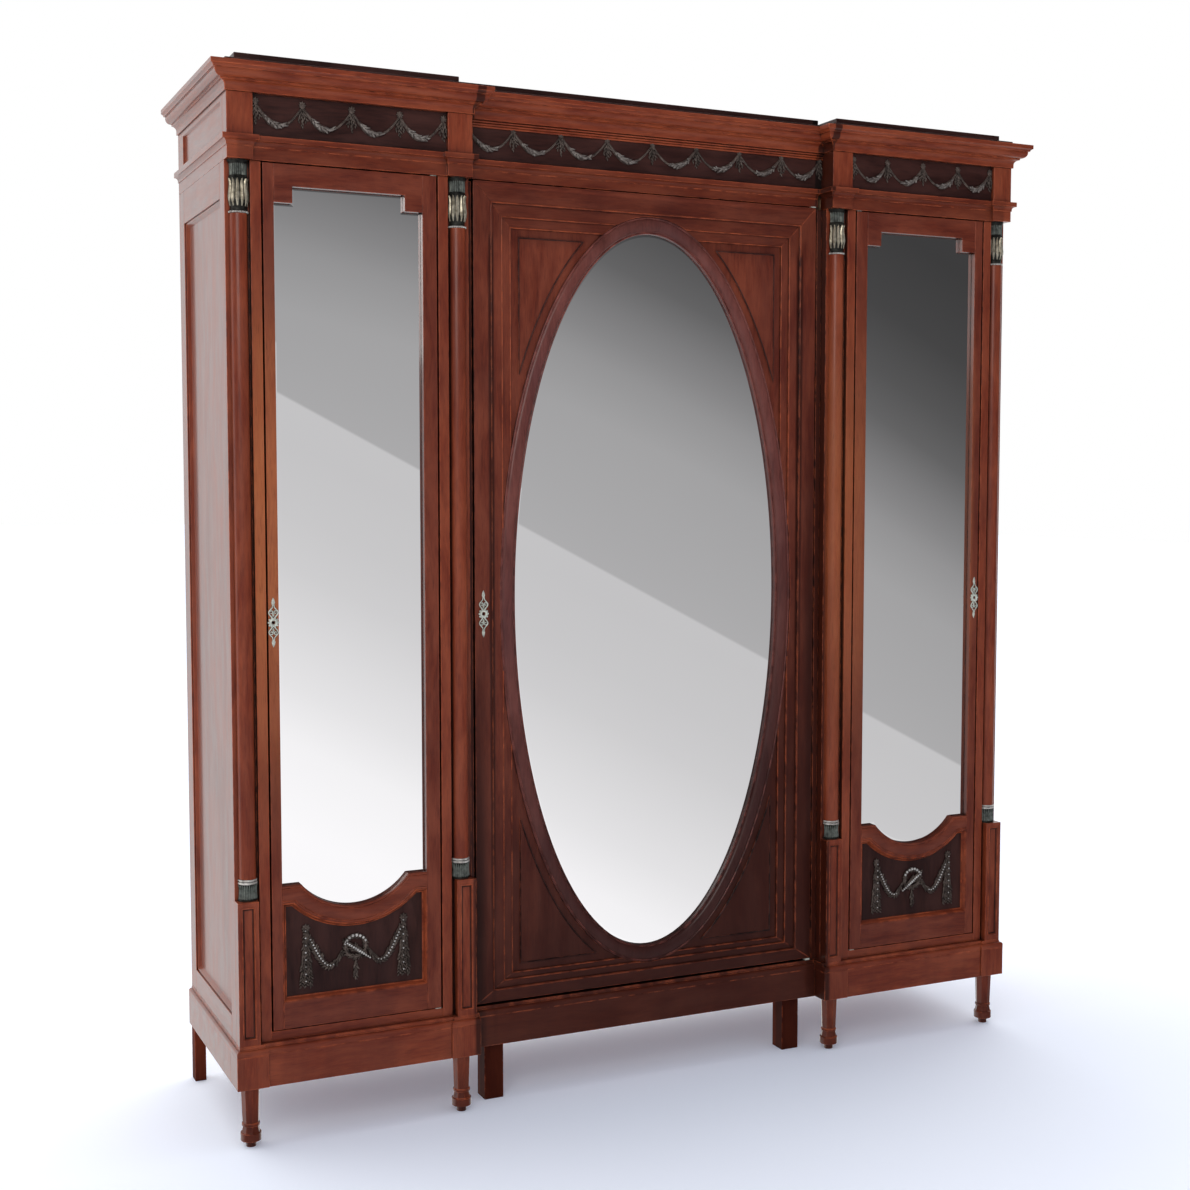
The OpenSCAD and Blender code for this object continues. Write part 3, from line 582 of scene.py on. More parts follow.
mirror, tree, shader, here = new_material("Mirror_glass")
silvering = colour_ramp(noise(here, 2.2, 3.0), [(0.0, (0.945, 0.935, 0.955)), (1.0, (0.975, 0.965, 0.98))])
feed(shader, {"Base Color": silvering, "Roughness": 0.0, "Metallic": 1.0})
print("metal finishes:", [m.name for m in (bronze, bronze_dark, bronze_swag, brass, mirror)])

# %% [markdown]
# ## Joinery with softened arrises
#
# A frame node is a heap of loose triangles with razor edges. For each one a merged copy is made, its flat
# triangles are joined into whole faces, and a live bevel rounds the edges by about a millimetre, so they
# catch a line of light as planed and sanded wood does. The letter is the way the grain runs.

# %% Soften the joinery
JOINERY = {
    "front_legs": ("z", 1.0), "centre_legs": ("z", 1.2), "back_legs": ("z", 1.2),
    "plinth_blocks": ("z", 1.2), "plinth_rails": ("x", 0.8), "base_boards": ("x", 0.5),
    "door_sills": ("x", 0.8), "corner_posts": ("z", 1.2), "centre_jambs": ("z", 1.0),
    "pedestals": ("z", 0.9), "columns": ("z", 0.3), "back_stiles": ("z", 1.5), "side_rails": ("y", 1.0),
    "side_panels": ("z", 0.8), "partitions": ("z", 1.0), "back_panels": ("z", 0.5),
    "ceiling_boards": ("x", 1.0), "side_shelves": ("x", 1.5), "hat_shelf": ("x", 1.5),
    "architrave_fronts": ("x", 0.5), "architrave_sides": ("y", 0.5), "frieze_blocks": ("z", 1.2),
    "frieze_panels": ("x", 0.6), "cornice_fronts": ("x", 0.5), "cornice_returns": ("y", 0.5),
    "top_caps": ("x", 1.5), "left_door_stiles": ("z", 1.2), "right_door_stiles": ("z", 1.2),
    "left_door_panel": ("z", 0.4), "right_door_panel": ("z", 0.4), "left_mirror_board": ("z", 0.5),
    "right_mirror_board": ("z", 0.5), "centre_mirror_board": ("z", 0.5), "centre_door_stiles": ("z", 1.1),
    "centre_door_rails": ("x", 1.1), "centre_spandrels": ("z", 1.0),
}


def merged(node):
    """A clean copy of a frame node: loose triangles welded, flat ones joined into whole faces."""
    bm = bmesh.new()
    bm.from_mesh(frame["nodes"][node].data)
    bmesh.ops.remove_doubles(bm, verts=bm.verts, dist=0.01 * MM)
    bmesh.ops.dissolve_limit(bm, angle_limit=math.radians(0.4), verts=bm.verts, edges=bm.edges)
    shape = Shape()
    bm.verts.index_update()
    shape.add([v.co.copy() for v in bm.verts], [[v.index for v in f.verts] for f in bm.faces])
    bm.free()
    return shape


for node, (axis, width) in JOINERY.items():
    kind = "matte" if node in ("centre_legs", "back_legs") else SLOT[node]
    make(node + "_finished", merged(node), WOODS[kind, axis], frame["nodes"][node]["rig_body"], node,
         angle=30, rounding=width)

# %% [markdown]
# ## Brass hardware
#
# Pivots, lock cases, bolts and the hanging rail are plain machined parts, so the same treatment with a
# smaller rounding and the brass finish is enough.

# %% Brass hardware
HARDWARE = ["pivot_plates", "hanging_rail", "rail_sockets"]
HARDWARE += [side + part for part in ("_lock_case", "_lock_bolt") for side in ("left", "right", "centre")]
for node in HARDWARE:
    make(node + "_finished", merged(node), brass, frame["nodes"][node]["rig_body"], node,
         angle=30, rounding=0.3, segments=1)

# %% [markdown]
# ## The shaped rail and top rail of the side doors
#
# The rail under each mirror dips in a hollow between two shoulders, and a bead is worked along both its
# edges. Its outline is a function of how far down from the top edge it runs, so a row of outlines, each set
# back as the bead's section asks, joins up into the whole rail.

# %% Shaped rails
def hollow(drop, count=40):
    """The hollow edge from left to right, lowered square to itself by a distance."""
    r = HOLLOW_R + drop
    top = shoulder_z - drop
    centre = hollow_z + HOLLOW_R
    half = math.sqrt(r * r - (centre - top) ** 2)
    reach = math.asin(half / r)
    arc = [(open_mid + r * math.sin(t), centre - r * math.cos(t))
           for t in [-reach + 2 * reach * i / count for i in range(count + 1)]]
    return [(open_x0, top)] + arc + [(open_x1, top)]


def bead_section(width):
    """(distance down the rail, depth behind its face): a bead and a groove along both edges."""
    one = [(0.0, 1.6), (0.5, 0.7), (1.6, 0.1), (3.0, 0.0), (4.4, 0.3), (5.2, 1.4), (5.7, 1.6), (6.3, 0.5),
           (7.0, 0.0)]
    return one + [(width - d, y) for d, y in reversed(one)]


def shaped_rail():
    loops = []
    front = [(down * MM, door_face + depth * MM) for down, depth in bead_section(MID_RAIL / MM)]
    for down, y in front + [(MID_RAIL, mirror_low.y), (0, mirror_low.y)]:
        loops.append([Vector((x, y, z)) for x, z in hollow(down)])
    return Shape().add(*rings(list(zip(*loops))))


def other_rails():
    """Top and bottom rails, taken from the frame: everything away from the hollow rail."""
    shape = merged("right_door_rails")
    keep = []
    for face in shape.faces:
        top = max(shape.points[i].z for i in face)
        if top > head_z - NOTCH_H - MM or top < panel_low.z + MM:
            keep.append(face)
    used = sorted({i for face in keep for i in face})
    place = {old: new for new, old in enumerate(used)}
    return Shape().add([shape.points[i] for i in used], [[place[i] for i in face] for face in keep])


for side in ("right", "left"):
    for name, shape, angle, rounding in (("_shaped_rail", shaped_rail(), 40, 0),
                                         ("_top_and_bottom_rails", other_rails(), 30, 1.1)):
        make(side + name, shape.on(side), WOODS["door_mahogany", "x"], side + "_door", side + "_door_rails",
             angle=angle, rounding=rounding)

# %% [markdown]
# ## Mirror glass with a ground bevel
#
# The edge of a good mirror is ground to a shallow slope a few millimetres wide. Seen from the front it
# is a thin bright line that follows the outline, because the slope reflects another part of the room. The
# glass is built from outlines moved inwards: the hidden margin, the opening, and the inner line of the bevel.

# %% Mirror plates
BEVEL_W, BEVEL_DROP, GLASS_T = 6 * MM, 0.16 * MM, 4 * MM


def door_outline(inset, margin=0.0):
    """Outline of the mirror opening, moved inwards by inset, anticlockwise from the lower left."""
    d = inset
    low = [(min(max(x, open_x0 + d), open_x1 - d), z) for x, z in hollow(-d)]
    x0, x1, top = open_x0 + d, open_x1 - d, head_z - d
    step_z = head_z - NOTCH_H - d
    high = [(x1, step_z), (x1 - NOTCH_W, step_z), (x1 - NOTCH_W, top),
            (x0 + NOTCH_W, top), (x0 + NOTCH_W, step_z), (x0, step_z)]
    return low + high


def plate(outer, middle, inner, front):
    """A glass plate whose front slopes back from the inner outline to the middle one."""
    slope_back = front + BEVEL_DROP
    levels = [(outer, front + GLASS_T), (outer, slope_back), (middle, slope_back), (inner, front)]
    return Shape().add(*rings([[Vector((x, y, z)) for x, z in outline] for outline, y in levels]))


for side in ("right", "left"):
    glass = plate(door_outline(-6 * MM), door_outline(0), door_outline(BEVEL_W), mirror_low.y)
    make(side + "_mirror_glass", glass.on(side), mirror, side + "_door", side + "_mirror", angle=0)

OVAL_STEPS = 144


def oval(grow):
    """The oval opening made larger by a distance, as (x, z) points."""
    return [((oval_a + grow) * math.cos(t), oval_z + (oval_b + grow) * math.sin(t))
            for t in [2 * math.pi * i / OVAL_STEPS for i in range(OVAL_STEPS)]]


glass = plate(oval(7 * MM), oval(0), oval(-BEVEL_W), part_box("oval_mirror")[0].y)
make("oval_mirror_glass", glass, mirror, "centre_door", "oval_mirror", angle=0)

# %% [markdown]
# ## The oval rim
#
# The rim is one moulding bent round the oval: a fine bead against the glass, a long swelling curve, and a
# small bead at its foot. Its section is a list of (distance outwards, depth) pairs, carried round the oval.

# %% Oval rim
RIM_SECTION = [(0, 22), (0, 13.6), (0.5, 12.7), (1.8, 12.1), (3.2, 12.3), (4.1, 13.3), (4.7, 13.6),
               (5.4, 12.4), (8, 8.8), (11, 6.8), (15, 5.4), (20, 4.6), (26, 4.6), (31, 5.2), (34.5, 6.4),
               (36.6, 8.2), (37.2, 8.9), (38.0, 8.0), (39.2, 7.4), (40.4, 7.5), (41.5, 8.5), (42, 9.8),
               (42, 22)]
levels = [[Vector((x, centre_face + y * MM, z)) for x, z in oval(d * MM)] for d, y in RIM_SECTION]
rim = Shape().add(*rings(list(zip(*levels)), closed_path=True))
make("oval_rim_moulding", rim, WOODS["rim", "z"], "centre_door", "oval_rim")

# %% [markdown]
# ## Beads on the steps of the centre door
#
# The centre door's frame goes down in steps, and a fine bead finishes the arris of each. The beads follow the
# frame's mitre and stop where the oval rim crosses them. The four spandrels have a routed line of their own:
# parallel to the frame on two sides and to the oval on the third.

# %% Centre door beads
leaf_low, leaf_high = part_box("centre_door_stiles")
field_low, field_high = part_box("centre_spandrels")
FRAME_W = leaf_high.x - field_high.x
FRAME_BOTTOM, FRAME_TOP = field_low.z - leaf_low.z, leaf_high.z - field_high.z


def outside_oval(x, z, grow):
    return (x / (oval_a + grow)) ** 2 + ((z - oval_z) / (oval_b + grow)) ** 2 > 1


def frame_outline(inset):
    """The centre door's frame at a share of its width, as closely spaced points, anticlockwise."""
    share = inset / FRAME_W
    x1, z0, z1 = leaf_high.x - inset, leaf_low.z + FRAME_BOTTOM * share, leaf_high.z - FRAME_TOP * share
    corners = [(-x1, z0), (x1, z0), (x1, z1), (-x1, z1)]
    points = []
    for (xa, za), (xb, zb) in zip(corners, corners[1:] + corners[:1]):
        points += [(xa + (xb - xa) * k / 80, za + (zb - za) * k / 80) for k in range(80)]
    return points


def runs_outside(points, grow):
    """Cuts a closed outline into the runs that lie outside the oval."""
    keep = [outside_oval(x, z, grow) for x, z in points]
    if all(keep):
        return [], points
    start = keep.index(False)
    runs, run = [], []
    for k in range(len(points)):
        i = (start + k) % len(points)
        if keep[i]:
            run.append(points[i])
        elif run:
            runs.append(run)
            run = []
    return runs + ([run] if run else []), None


beads = Shape()
for inset, depth, radius in ((46, 0.6, 2.3), (76, 6.6, 2.0), (99, 10.4, 1.8)):
    runs, whole = runs_outside(frame_outline(inset * MM), RIM_W - MM)
    y = leaf_low.y + depth * MM
    if whole:
        beads.add(*tube([(x, y, z) for x, z in whole], radius * MM, closed=True))
    for run in runs:
        if len(run) > 1:
            beads.add(*tube([(x, y, z) for x, z in run], radius * MM))
make("centre_door_beads", beads, WOODS["mahogany", "z"], "centre_door", slot="mahogany")

FIELD_IN = 22 * MM
routed = Shape()
field_x, field_top, field_foot = field_high.x - FIELD_IN, field_high.z - FIELD_IN, field_low.z + FIELD_IN
wide, tall = oval_a + RIM_W + FIELD_IN, oval_b + RIM_W + FIELD_IN
for z_line in (field_top, field_foot):
    t_side = math.acos(field_x / wide)
    t_line = math.asin(abs(z_line - oval_z) / tall)
    up_down = 1 if z_line > oval_z else -1
    for flip in (-1, 1):
        path = [(flip * field_x, oval_z + up_down * tall * math.sin(t_side)), (flip * field_x, z_line)]
        path += [(flip * wide * math.cos(t), oval_z + up_down * tall * math.sin(t))
                 for t in [t_line + (t_side - t_line) * k / 24 for k in range(24)]]
        routed.add(*tube([(x, field_low.y - 0.2 * MM, z) for x, z in path], 1.7 * MM, closed=True))
make("spandrel_lines", routed, WOODS["dark_mahogany", "z"], "centre_door", slot="dark_mahogany")

# %% [markdown]
# ## Mouldings of the lower panels and pedestals
#
# A mitred moulding slopes from the door's frame down to each lower panel: a rounded lip, a long slope and a
# small bead against the panel. Its outline is the panel's opening moved inwards by the section's distance. On
# the pedestals a bead runs round each sunk field, with a dark line inside it.

# %% Panel and pedestal mouldings
PANEL_SECTION = [(0, 12.5), (0, 1.6), (0.8, 0.8), (1.8, 0.8), (2.6, 1.8), (3.0, 3.4), (3.6, 3.2), (7.0, 8.4),
                 (7.5, 10.0), (8.1, 9.2), (9.0, 9.0), (9.8, 9.9), (10.0, 12.5)]


def panel_outline(inset):
    """The lower panel's opening, moved inwards: along the hollow rail, then round the foot."""
    x0, x1 = open_x0 + inset, open_x1 - inset
    top = [(min(max(x, x0), x1), z) for x, z in hollow(MID_RAIL + inset)]
    foot = panel_low.z + inset
    return top + [(x1, foot), (x0, foot)]


for side in ("right", "left"):
    levels = [[Vector((x, door_face + y * MM, z)) for x, z in panel_outline(d * MM)]
              for d, y in PANEL_SECTION]
    shape = Shape().add(*rings(list(zip(*levels)), closed_path=True))
    make(side + "_panel_moulding", shape.on(side), WOODS["mahogany", "x"], side + "_door",
         slot="door_mahogany", angle=35)

pedestal_low, pedestal_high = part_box("pedestals")
PEDESTAL_W = 49 * MM
loop, line = Shape(), Shape()
for mid in (pedestal_high.x - PEDESTAL_W / 2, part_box("centre_jambs")[1].x + PEDESTAL_W / 2):
    for flip in (-1, 1):
        for shape, half, y, radius in ((loop, 14.5, 0.1, 1.6), (line, 10.6, 3.6, 1.5)):
            z0, z1 = pedestal_low.z + (30 - half) * MM, pedestal_high.z - (28 - half) * MM
            x0, x1 = mid - half * MM, mid + half * MM
            corners = [(x0, z0), (x1, z0), (x1, z1), (x0, z1)]
            path = [(flip * x, pedestal_low.y + y * MM, z) for x, z in corners]
            shape.add(*tube(path, radius * MM, closed=True))
for name, shape, kind in (("pedestal_beads", loop, "mahogany"), ("pedestal_lines", line, "dark_mahogany")):
    make(name, shape, WOODS[kind, "z"], "carcass", slot=kind)

# %% [markdown]
# ## Geometry Nodes: leaves along a line
#
# Every festoon, drop and wreath is the same idea: one cast leaf repeated along a line, leaning outwards on
# alternate sides, small at the ends and full in the middle. A Geometry Nodes tree does that for any path.
# Its inputs are the leaf, the spacing, the size, how far the leaves splay, and how much the string swells.

# %% Leaf-string tree
def copies(tree, end, pattern, finish, **feeds):
    """The last steps of both trees: copies of a pattern, made real and given their material."""
    casting_here = add(tree, "GeometryNodeObjectInfo", {"Object": pattern}).outputs["Geometry"]
    put = add(tree, "GeometryNodeInstanceOnPoints", {"Instance": casting_here, **feeds}).outputs[0]
    solid = add(tree, "GeometryNodeRealizeInstances", {0: put}).outputs[0]
    done = add(tree, "GeometryNodeSetMaterial", {"Geometry": solid, "Material": finish}).outputs[0]
    feed(end, {"Geometry": done})


GEO, OBJ, MAT = "NodeSocketGeometry", "NodeSocketObject", "NodeSocketMaterial"
leaf_string, start, end = new_group("Leaf string", [
    ("Path", GEO, None), ("Leaf", OBJ, None), ("Spacing", NUM, 0.005), ("Size", NUM, 1.0),
    ("Swell", NUM, 0.5), ("Splay", NUM, 0.6), ("Seed", INT, 1), ("Finish", MAT, None)],
    [("Geometry", GEO)], "GeometryNodeTree")
i, t = start.outputs, leaf_string
curve = add(t, "GeometryNodeMeshToCurve", {0: i["Path"]}).outputs[0]
curve = add(t, "GeometryNodeResampleCurve", {"Curve": curve, "Length": i["Spacing"]}, mode="LENGTH")
curve = curve.outputs[0]
way = add(t, "GeometryNodeSplineParameter").outputs["Factor"]
swell = plus(minus(1.0, i["Swell"]), times(calc("SINE", times(way, math.pi)), i["Swell"]))
curve = add(t, "GeometryNodeSetCurveRadius", {"Curve": curve, "Radius": swell}).outputs[0]
dots = add(t, "GeometryNodeCurveToPoints", {"Curve": curve}, mode="EVALUATED")
direction = add(t, "ShaderNodeSeparateXYZ", {0: dots.outputs["Tangent"]})
heading = calc("ARCTAN2", direction.outputs["Z"], direction.outputs["X"])
number = add(t, "GeometryNodeInputIndex").outputs[0]
lean = minus(times(calc("MODULO", number, 2.0), 2.0), 1.0)
chance = add(t, "FunctionNodeRandomValue", {"Min": -0.25, "Max": 0.25, "Seed": i["Seed"]}, data_type="FLOAT")
chance = [s for s in chance.outputs if s.enabled][0]
turn = minus(plus(times(lean, i["Splay"]), chance), heading)
rotation = add(t, "ShaderNodeCombineXYZ", {"X": times(chance, 1.6), "Y": turn}).outputs[0]
radius = add(t, "GeometryNodeInputRadius").outputs[0]
copies(t, end, i["Leaf"], i["Finish"], Points=dots.outputs["Points"], Rotation=rotation,
       Scale=times(radius, i["Size"]))

# %% [markdown]
# ## Geometry Nodes: a collar round a column
#
# Capitals and bases are wrapped in upright leaves and rings of beads. This second tree places a shape a
# number of times along an arc about the column's axis, each one turned to face outwards. Only the front
# half is filled, since the back of the column stands against the wood.

# %% Collar tree
collar, start, end = new_group("Collar", [
    ("Shape", OBJ, None), ("Count", INT, 9), ("Radius", NUM, 0.02), ("Height", NUM, 0.0),
    ("Sweep", NUM, math.pi), ("Size", NUM, 1.0), ("Finish", MAT, None)],
    [("Geometry", GEO)], "GeometryNodeTree")
i, t = start.outputs, collar
dots = add(t, "GeometryNodePoints", {"Count": i["Count"]}).outputs[0]
number = add(t, "GeometryNodeInputIndex").outputs[0]
angle = times(minus(calc("DIVIDE", plus(number, 0.5), i["Count"]), 0.5), i["Sweep"])
out_x, out_y = times(calc("SINE", angle), i["Radius"]), times(calc("COSINE", angle), i["Radius"], -1.0)
spot = add(t, "ShaderNodeCombineXYZ", {"X": out_x, "Y": out_y, "Z": i["Height"]}).outputs[0]
dots = add(t, "GeometryNodeSetPosition", {"Geometry": dots, "Position": spot}).outputs[0]
outward = add(t, "ShaderNodeCombineXYZ", {"Z": angle}).outputs[0]
copies(t, end, i["Shape"], i["Finish"], Points=dots, Rotation=outward, Scale=i["Size"])


def grown(tree, paths=None, **inputs):
    """Runs a tree on one or more paths (lists of points) and gives back the finished plain mesh."""
    mesh = bpy.data.meshes.new("path")
    points, edges = [], []
    for path in paths or [[(0, 0, 0)]]:
        start = len(points)
        points += [tuple(p) for p in path]
        edges += [(start + k, start + k + 1) for k in range(len(path) - 1)]
    mesh.from_pydata(points, edges, [])
    obj = bpy.data.objects.new("growing", mesh)
    modifier = obj.modifiers.new("Grow", "NODES")
    modifier.node_group = tree
    for item in tree.interface.items_tree:
        if item.item_type == "SOCKET" and item.in_out == "INPUT" and item.name in inputs:
            modifier[item.identifier] = inputs[item.name]
    bpy.context.scene.collection.objects.link(obj)
    bpy.context.view_layer.update()
    evaluated = obj.evaluated_get(bpy.context.evaluated_depsgraph_get())
    result = bpy.data.meshes.new_from_object(evaluated)
    obj.modifiers.clear()
    bpy.data.objects.remove(obj)
    return result


# %% [markdown]
# ## One leaf, one bead, one reed
#
# These small castings are what the trees repeat. The leaf is folded along its midrib and curls at the tip;
# it lies in the X-Z plane and grows along X. The upright leaf for the collars stands on its base and bends
# outwards. Each has only a few dozen faces, because a festoon holds hundreds.

# %% Leaf and bead shapes
def leaf_shape(length, width, thick, curl=0.0):
    """A folded leaf along +X, its front towards -Y."""
    rows = [(0.0, 0.16), (0.18, 0.72), (0.42, 1.0), (0.68, 0.74), (0.88, 0.34), (1.0, 0.03)]
    loops = []
    for share, wide in rows:
        w = width / 2 * wide
        x, y = length * share, -curl * share * share
        loops.append([Vector((x, y + out * thick, part * w)) for part, out in (
            (-1, 0), (-0.5, -0.45), (0, -1), (0.5, -0.45), (1, 0), (0, 0.25))])
    shape = Shape()
    return Shape().add(*rings(loops))


def upright_leaf(height, width, thick, rows):
    """A ridged leaf standing on its base, front towards -Y; rows are (share of height, width, mm out)."""
    loops = []
    for share, wide, out in rows:
        w, y, z = width / 2 * wide, -out * MM, height * share
        loops.append([Vector((x * w, y + back * thick, z)) for x, back in (
            (-1, 0.5), (-0.62, -0.25), (0, -0.75), (0.62, -0.25), (1, 0.5), (0, 1.2))])
    return Shape().add(*rings(loops))


def ball_shape(radius, flat=1.0, rows=4, sides=8):
    """A bead; flat squeezes it towards the back."""
    points = [Vector((0, 0, radius))]
    for r in range(1, rows):
        wide, z = radius * math.sin(math.pi * r / rows), radius * math.cos(math.pi * r / rows)
        points += [Vector((wide * math.cos(t), flat * wide * math.sin(t), z))
                   for t in [2 * math.pi * s / sides for s in range(sides)]]
    points.append(Vector((0, 0, -radius)))
    faces = [[0, 1 + s, 1 + (s + 1) % sides] for s in range(sides)]
    for r in range(rows - 2):
        for s in range(sides):
            a, b = 1 + r * sides + s, 1 + r * sides + (s + 1) % sides
            faces.append([a, a + sides, b + sides, b])
    last, ring = len(points) - 1, 1 + (rows - 2) * sides
    faces += [[last, ring + (s + 1) % sides, ring + s] for s in range(sides)]
    return Shape().add(points, faces)


def casting(name, shape):
    """A hidden pattern piece for the trees to repeat."""
    obj = build(name, shape)
    smooth(obj, 180)
    return obj


LOTUS = [(0.0, 0.5, 0.0), (0.12, 0.78, 1.6), (0.24, 0.98, 3.4), (0.36, 1.0, 3.9), (0.55, 0.88, 2.7),
         (0.75, 0.74, 1.2), (0.90, 0.56, 1.2), (1.0, 0.14, 3.0)]
SHEATH = [(0.0, 0.95, 1.4), (0.3, 1.0, 0.5), (0.6, 0.9, 0.0), (0.85, 0.62, 0.6), (1.0, 0.12, 2.0)]
REED = [(0.0, 0.9, 0.0), (0.5, 1.0, 0.0), (0.92, 1.0, 0.3), (1.0, 0.5, 0.6)]
patterns = {
    "leaf": casting("pattern_leaf", leaf_shape(9 * MM, 5.2 * MM, 2.4 * MM, 1.2 * MM)),
    "bead": casting("pattern_bead", ball_shape(1.0 * MM)),
    "lotus": casting("pattern_lotus", upright_leaf(60 * MM, 9.4 * MM, 3.0 * MM, LOTUS)),
    "sheath": casting("pattern_sheath", upright_leaf(33 * MM, 6.0 * MM, 2.0 * MM, SHEATH)),
    "reed": casting("pattern_reed", upright_leaf(27 * MM, 4.0 * MM, 1.6 * MM, REED)),
}
print("faces in the leaf pattern:", len(patterns["leaf"].data.polygons))

# %% [markdown]
# ## Capitals and column bases
#
# A capital is a turned vase with a necking of beads below, long lotus leaves wrapped round the swelling, and
# a fluted upper band under a second ring of beads. The base is a short drum sheathed in pointed leaves with
# a plain ring above. One of each is made at the origin, then copied to the four columns.

# %% Capitals and bases
cap_low, cap_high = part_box("capitals")
base_low, base_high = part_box("column_bases")
column_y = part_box("columns")[1].y
column_xs = [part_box("pedestals")[1].x - 30 * MM]
centre_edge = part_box("centre_door_stiles")[1].x + 19 * MM
column_xs.append(centre_edge + 30 * MM)
print("column axes at |x| =", [round(x, 4) for x in column_xs])

vase = [(0, 0), (20.2, 0), (21.2, 1.5), (21.2, 4), (20.2, 5.5), (18.4, 7), (18.0, 10), (19.0, 16),
        (20.6, 23), (21.4, 30), (21.0, 38), (19.6, 48), (18.4, 58), (17.8, 68), (17.8, 76), (19.6, 78),
        (20.6, 80), (19.6, 82), (18.6, 84), (18.7, 100), (19.4, 108), (21.5, 112), (22.8, 114.5),
        (23.2, 118), (0, 118)]
drum = [(0, 0), (22, 0), (22.2, 3.6), (21.4, 5), (19.6, 7), (19.0, 14), (19.0, 34), (20.0, 38), (20.6, 50),
        (0, 50)]
upper_ring = [(0, 45), (21.4, 45), (22.4, 47.2), (21.4, 49.4), (0, 49.4)]
lower_ring = [(0, 38.6), (21.6, 38.6), (22.8, 41), (21.6, 43.4), (0, 43.4)]
cap_scale = (cap_high.z - cap_low.z) / (118 * MM)


def place_four(parts, z):
    """Copies the parts to the four columns, the left two turned over."""
    whole = Shape()
    for x in column_xs:
        for flip in (False, True):
            for mesh, finish in parts:
                whole.add_mesh(mesh, (x, column_y, z), flip, finish)
    return whole


def turned(profile, scale=1.0):
    """A plain mesh turned from (radius, height) pairs in millimetres."""
    obj = build("part", Shape().add(*lathe([(r * MM, z * MM * scale) for r, z in profile], (0, 0, 0))))
    mesh = obj.data
    bpy.data.objects.remove(obj)
    return mesh


def wrapped(kind, count, radius, height, size=1.0, sweep=math.pi):
    """A collar of one pattern, its radius and height in millimetres."""
    return grown(collar, Shape=patterns[kind], Count=count, Radius=radius * MM, Height=height * MM, Size=size,
                 Sweep=sweep, Finish=bronze)


NARROW = math.pi * 0.97
capital_parts = [
    (turned(vase, cap_scale), 1), (wrapped("lotus", 6, 18.2, 16), 0),
    (wrapped("bead", 15, 20.6, 2.8, 2.5), 3), (wrapped("bead", 19, 19.8, 80, 1.8), 1),
    (wrapped("reed", 13, 18.6, 84, sweep=NARROW), 2)]
make("capitals_cast", place_four(capital_parts, cap_low.z), [bronze, bronze_black, bronze_dark, bronze_pale],
     "carcass", "capitals", angle=40)
base_parts = [(turned(drum), 0), (wrapped("sheath", 11, 19.6, 5, sweep=NARROW), 2), (turned(upper_ring), 1),
              (turned(lower_ring), 1)]
make("column_bases_cast", place_four(base_parts, base_low.z), [bronze_black, bronze_pale, bronze_dark],
     "carcass", "column_bases", angle=40)

# %% [markdown]
# ## The frieze
#
# Cast festoons hang from knots along the dark frieze: four to each side panel, eight across the middle. Each
# is a leaf string that sags between two knots, thick at one end like a horn; a rosette covers each knot and a
# tassel of three strands hangs below it. Three small fillets run along the top of the middle panel.

# %% Frieze festoons
def sagging(a, b, sag, face, count=24):
    """A path that hangs between two points (x, z) on a face."""
    path = []
    for f in [k / count for k in range(count + 1)]:
        path.append((a[0] + (b[0] - a[0]) * f, face, a[1] + (b[1] - a[1]) * f - sag * (1 - (2 * f - 1) ** 2)))
    return path


def rosette(x, y, z, radius, depth=3.0 * MM):
    """A small flower head: eight petals round a button, facing -Y."""
    shape = Shape()
    leaf = leaf_shape(radius, radius * 0.75, depth * 0.6)
    for a in [math.pi * k / 4 for k in range(8)]:
        c, s = math.cos(a), math.sin(a)
        shape.put(leaf, lambda p: (x + p.x * c - p.z * s, y + p.y, z + p.x * s + p.z * c))
    return shape.put(ball_shape(radius * 0.34, 0.8), lambda p: (x + p.x, y + p.y - depth * 0.35, z + p.z))


def strung(paths, kind, spacing, size, swell, splay, seed):
    """A pattern strung along one or more paths, its spacing in millimetres."""
    return grown(leaf_string, paths, Leaf=patterns[kind], Spacing=spacing * MM, Size=size, Swell=swell,
                 Splay=splay, Seed=seed, Finish=bronze_swag)


# Half widths of the horn, from its mouth to its tip.
HORN = [(1.6 + 6.4 * math.sin(math.pi * (0.08 + 0.86 * (m / 13) ** 1.7))) * MM for m in range(14)]
KNOT_AT, SAG = 0.80, 0.50  # shares of the frieze's height
END_GAP, TASSEL_STEP = 8 * MM, 3 * MM


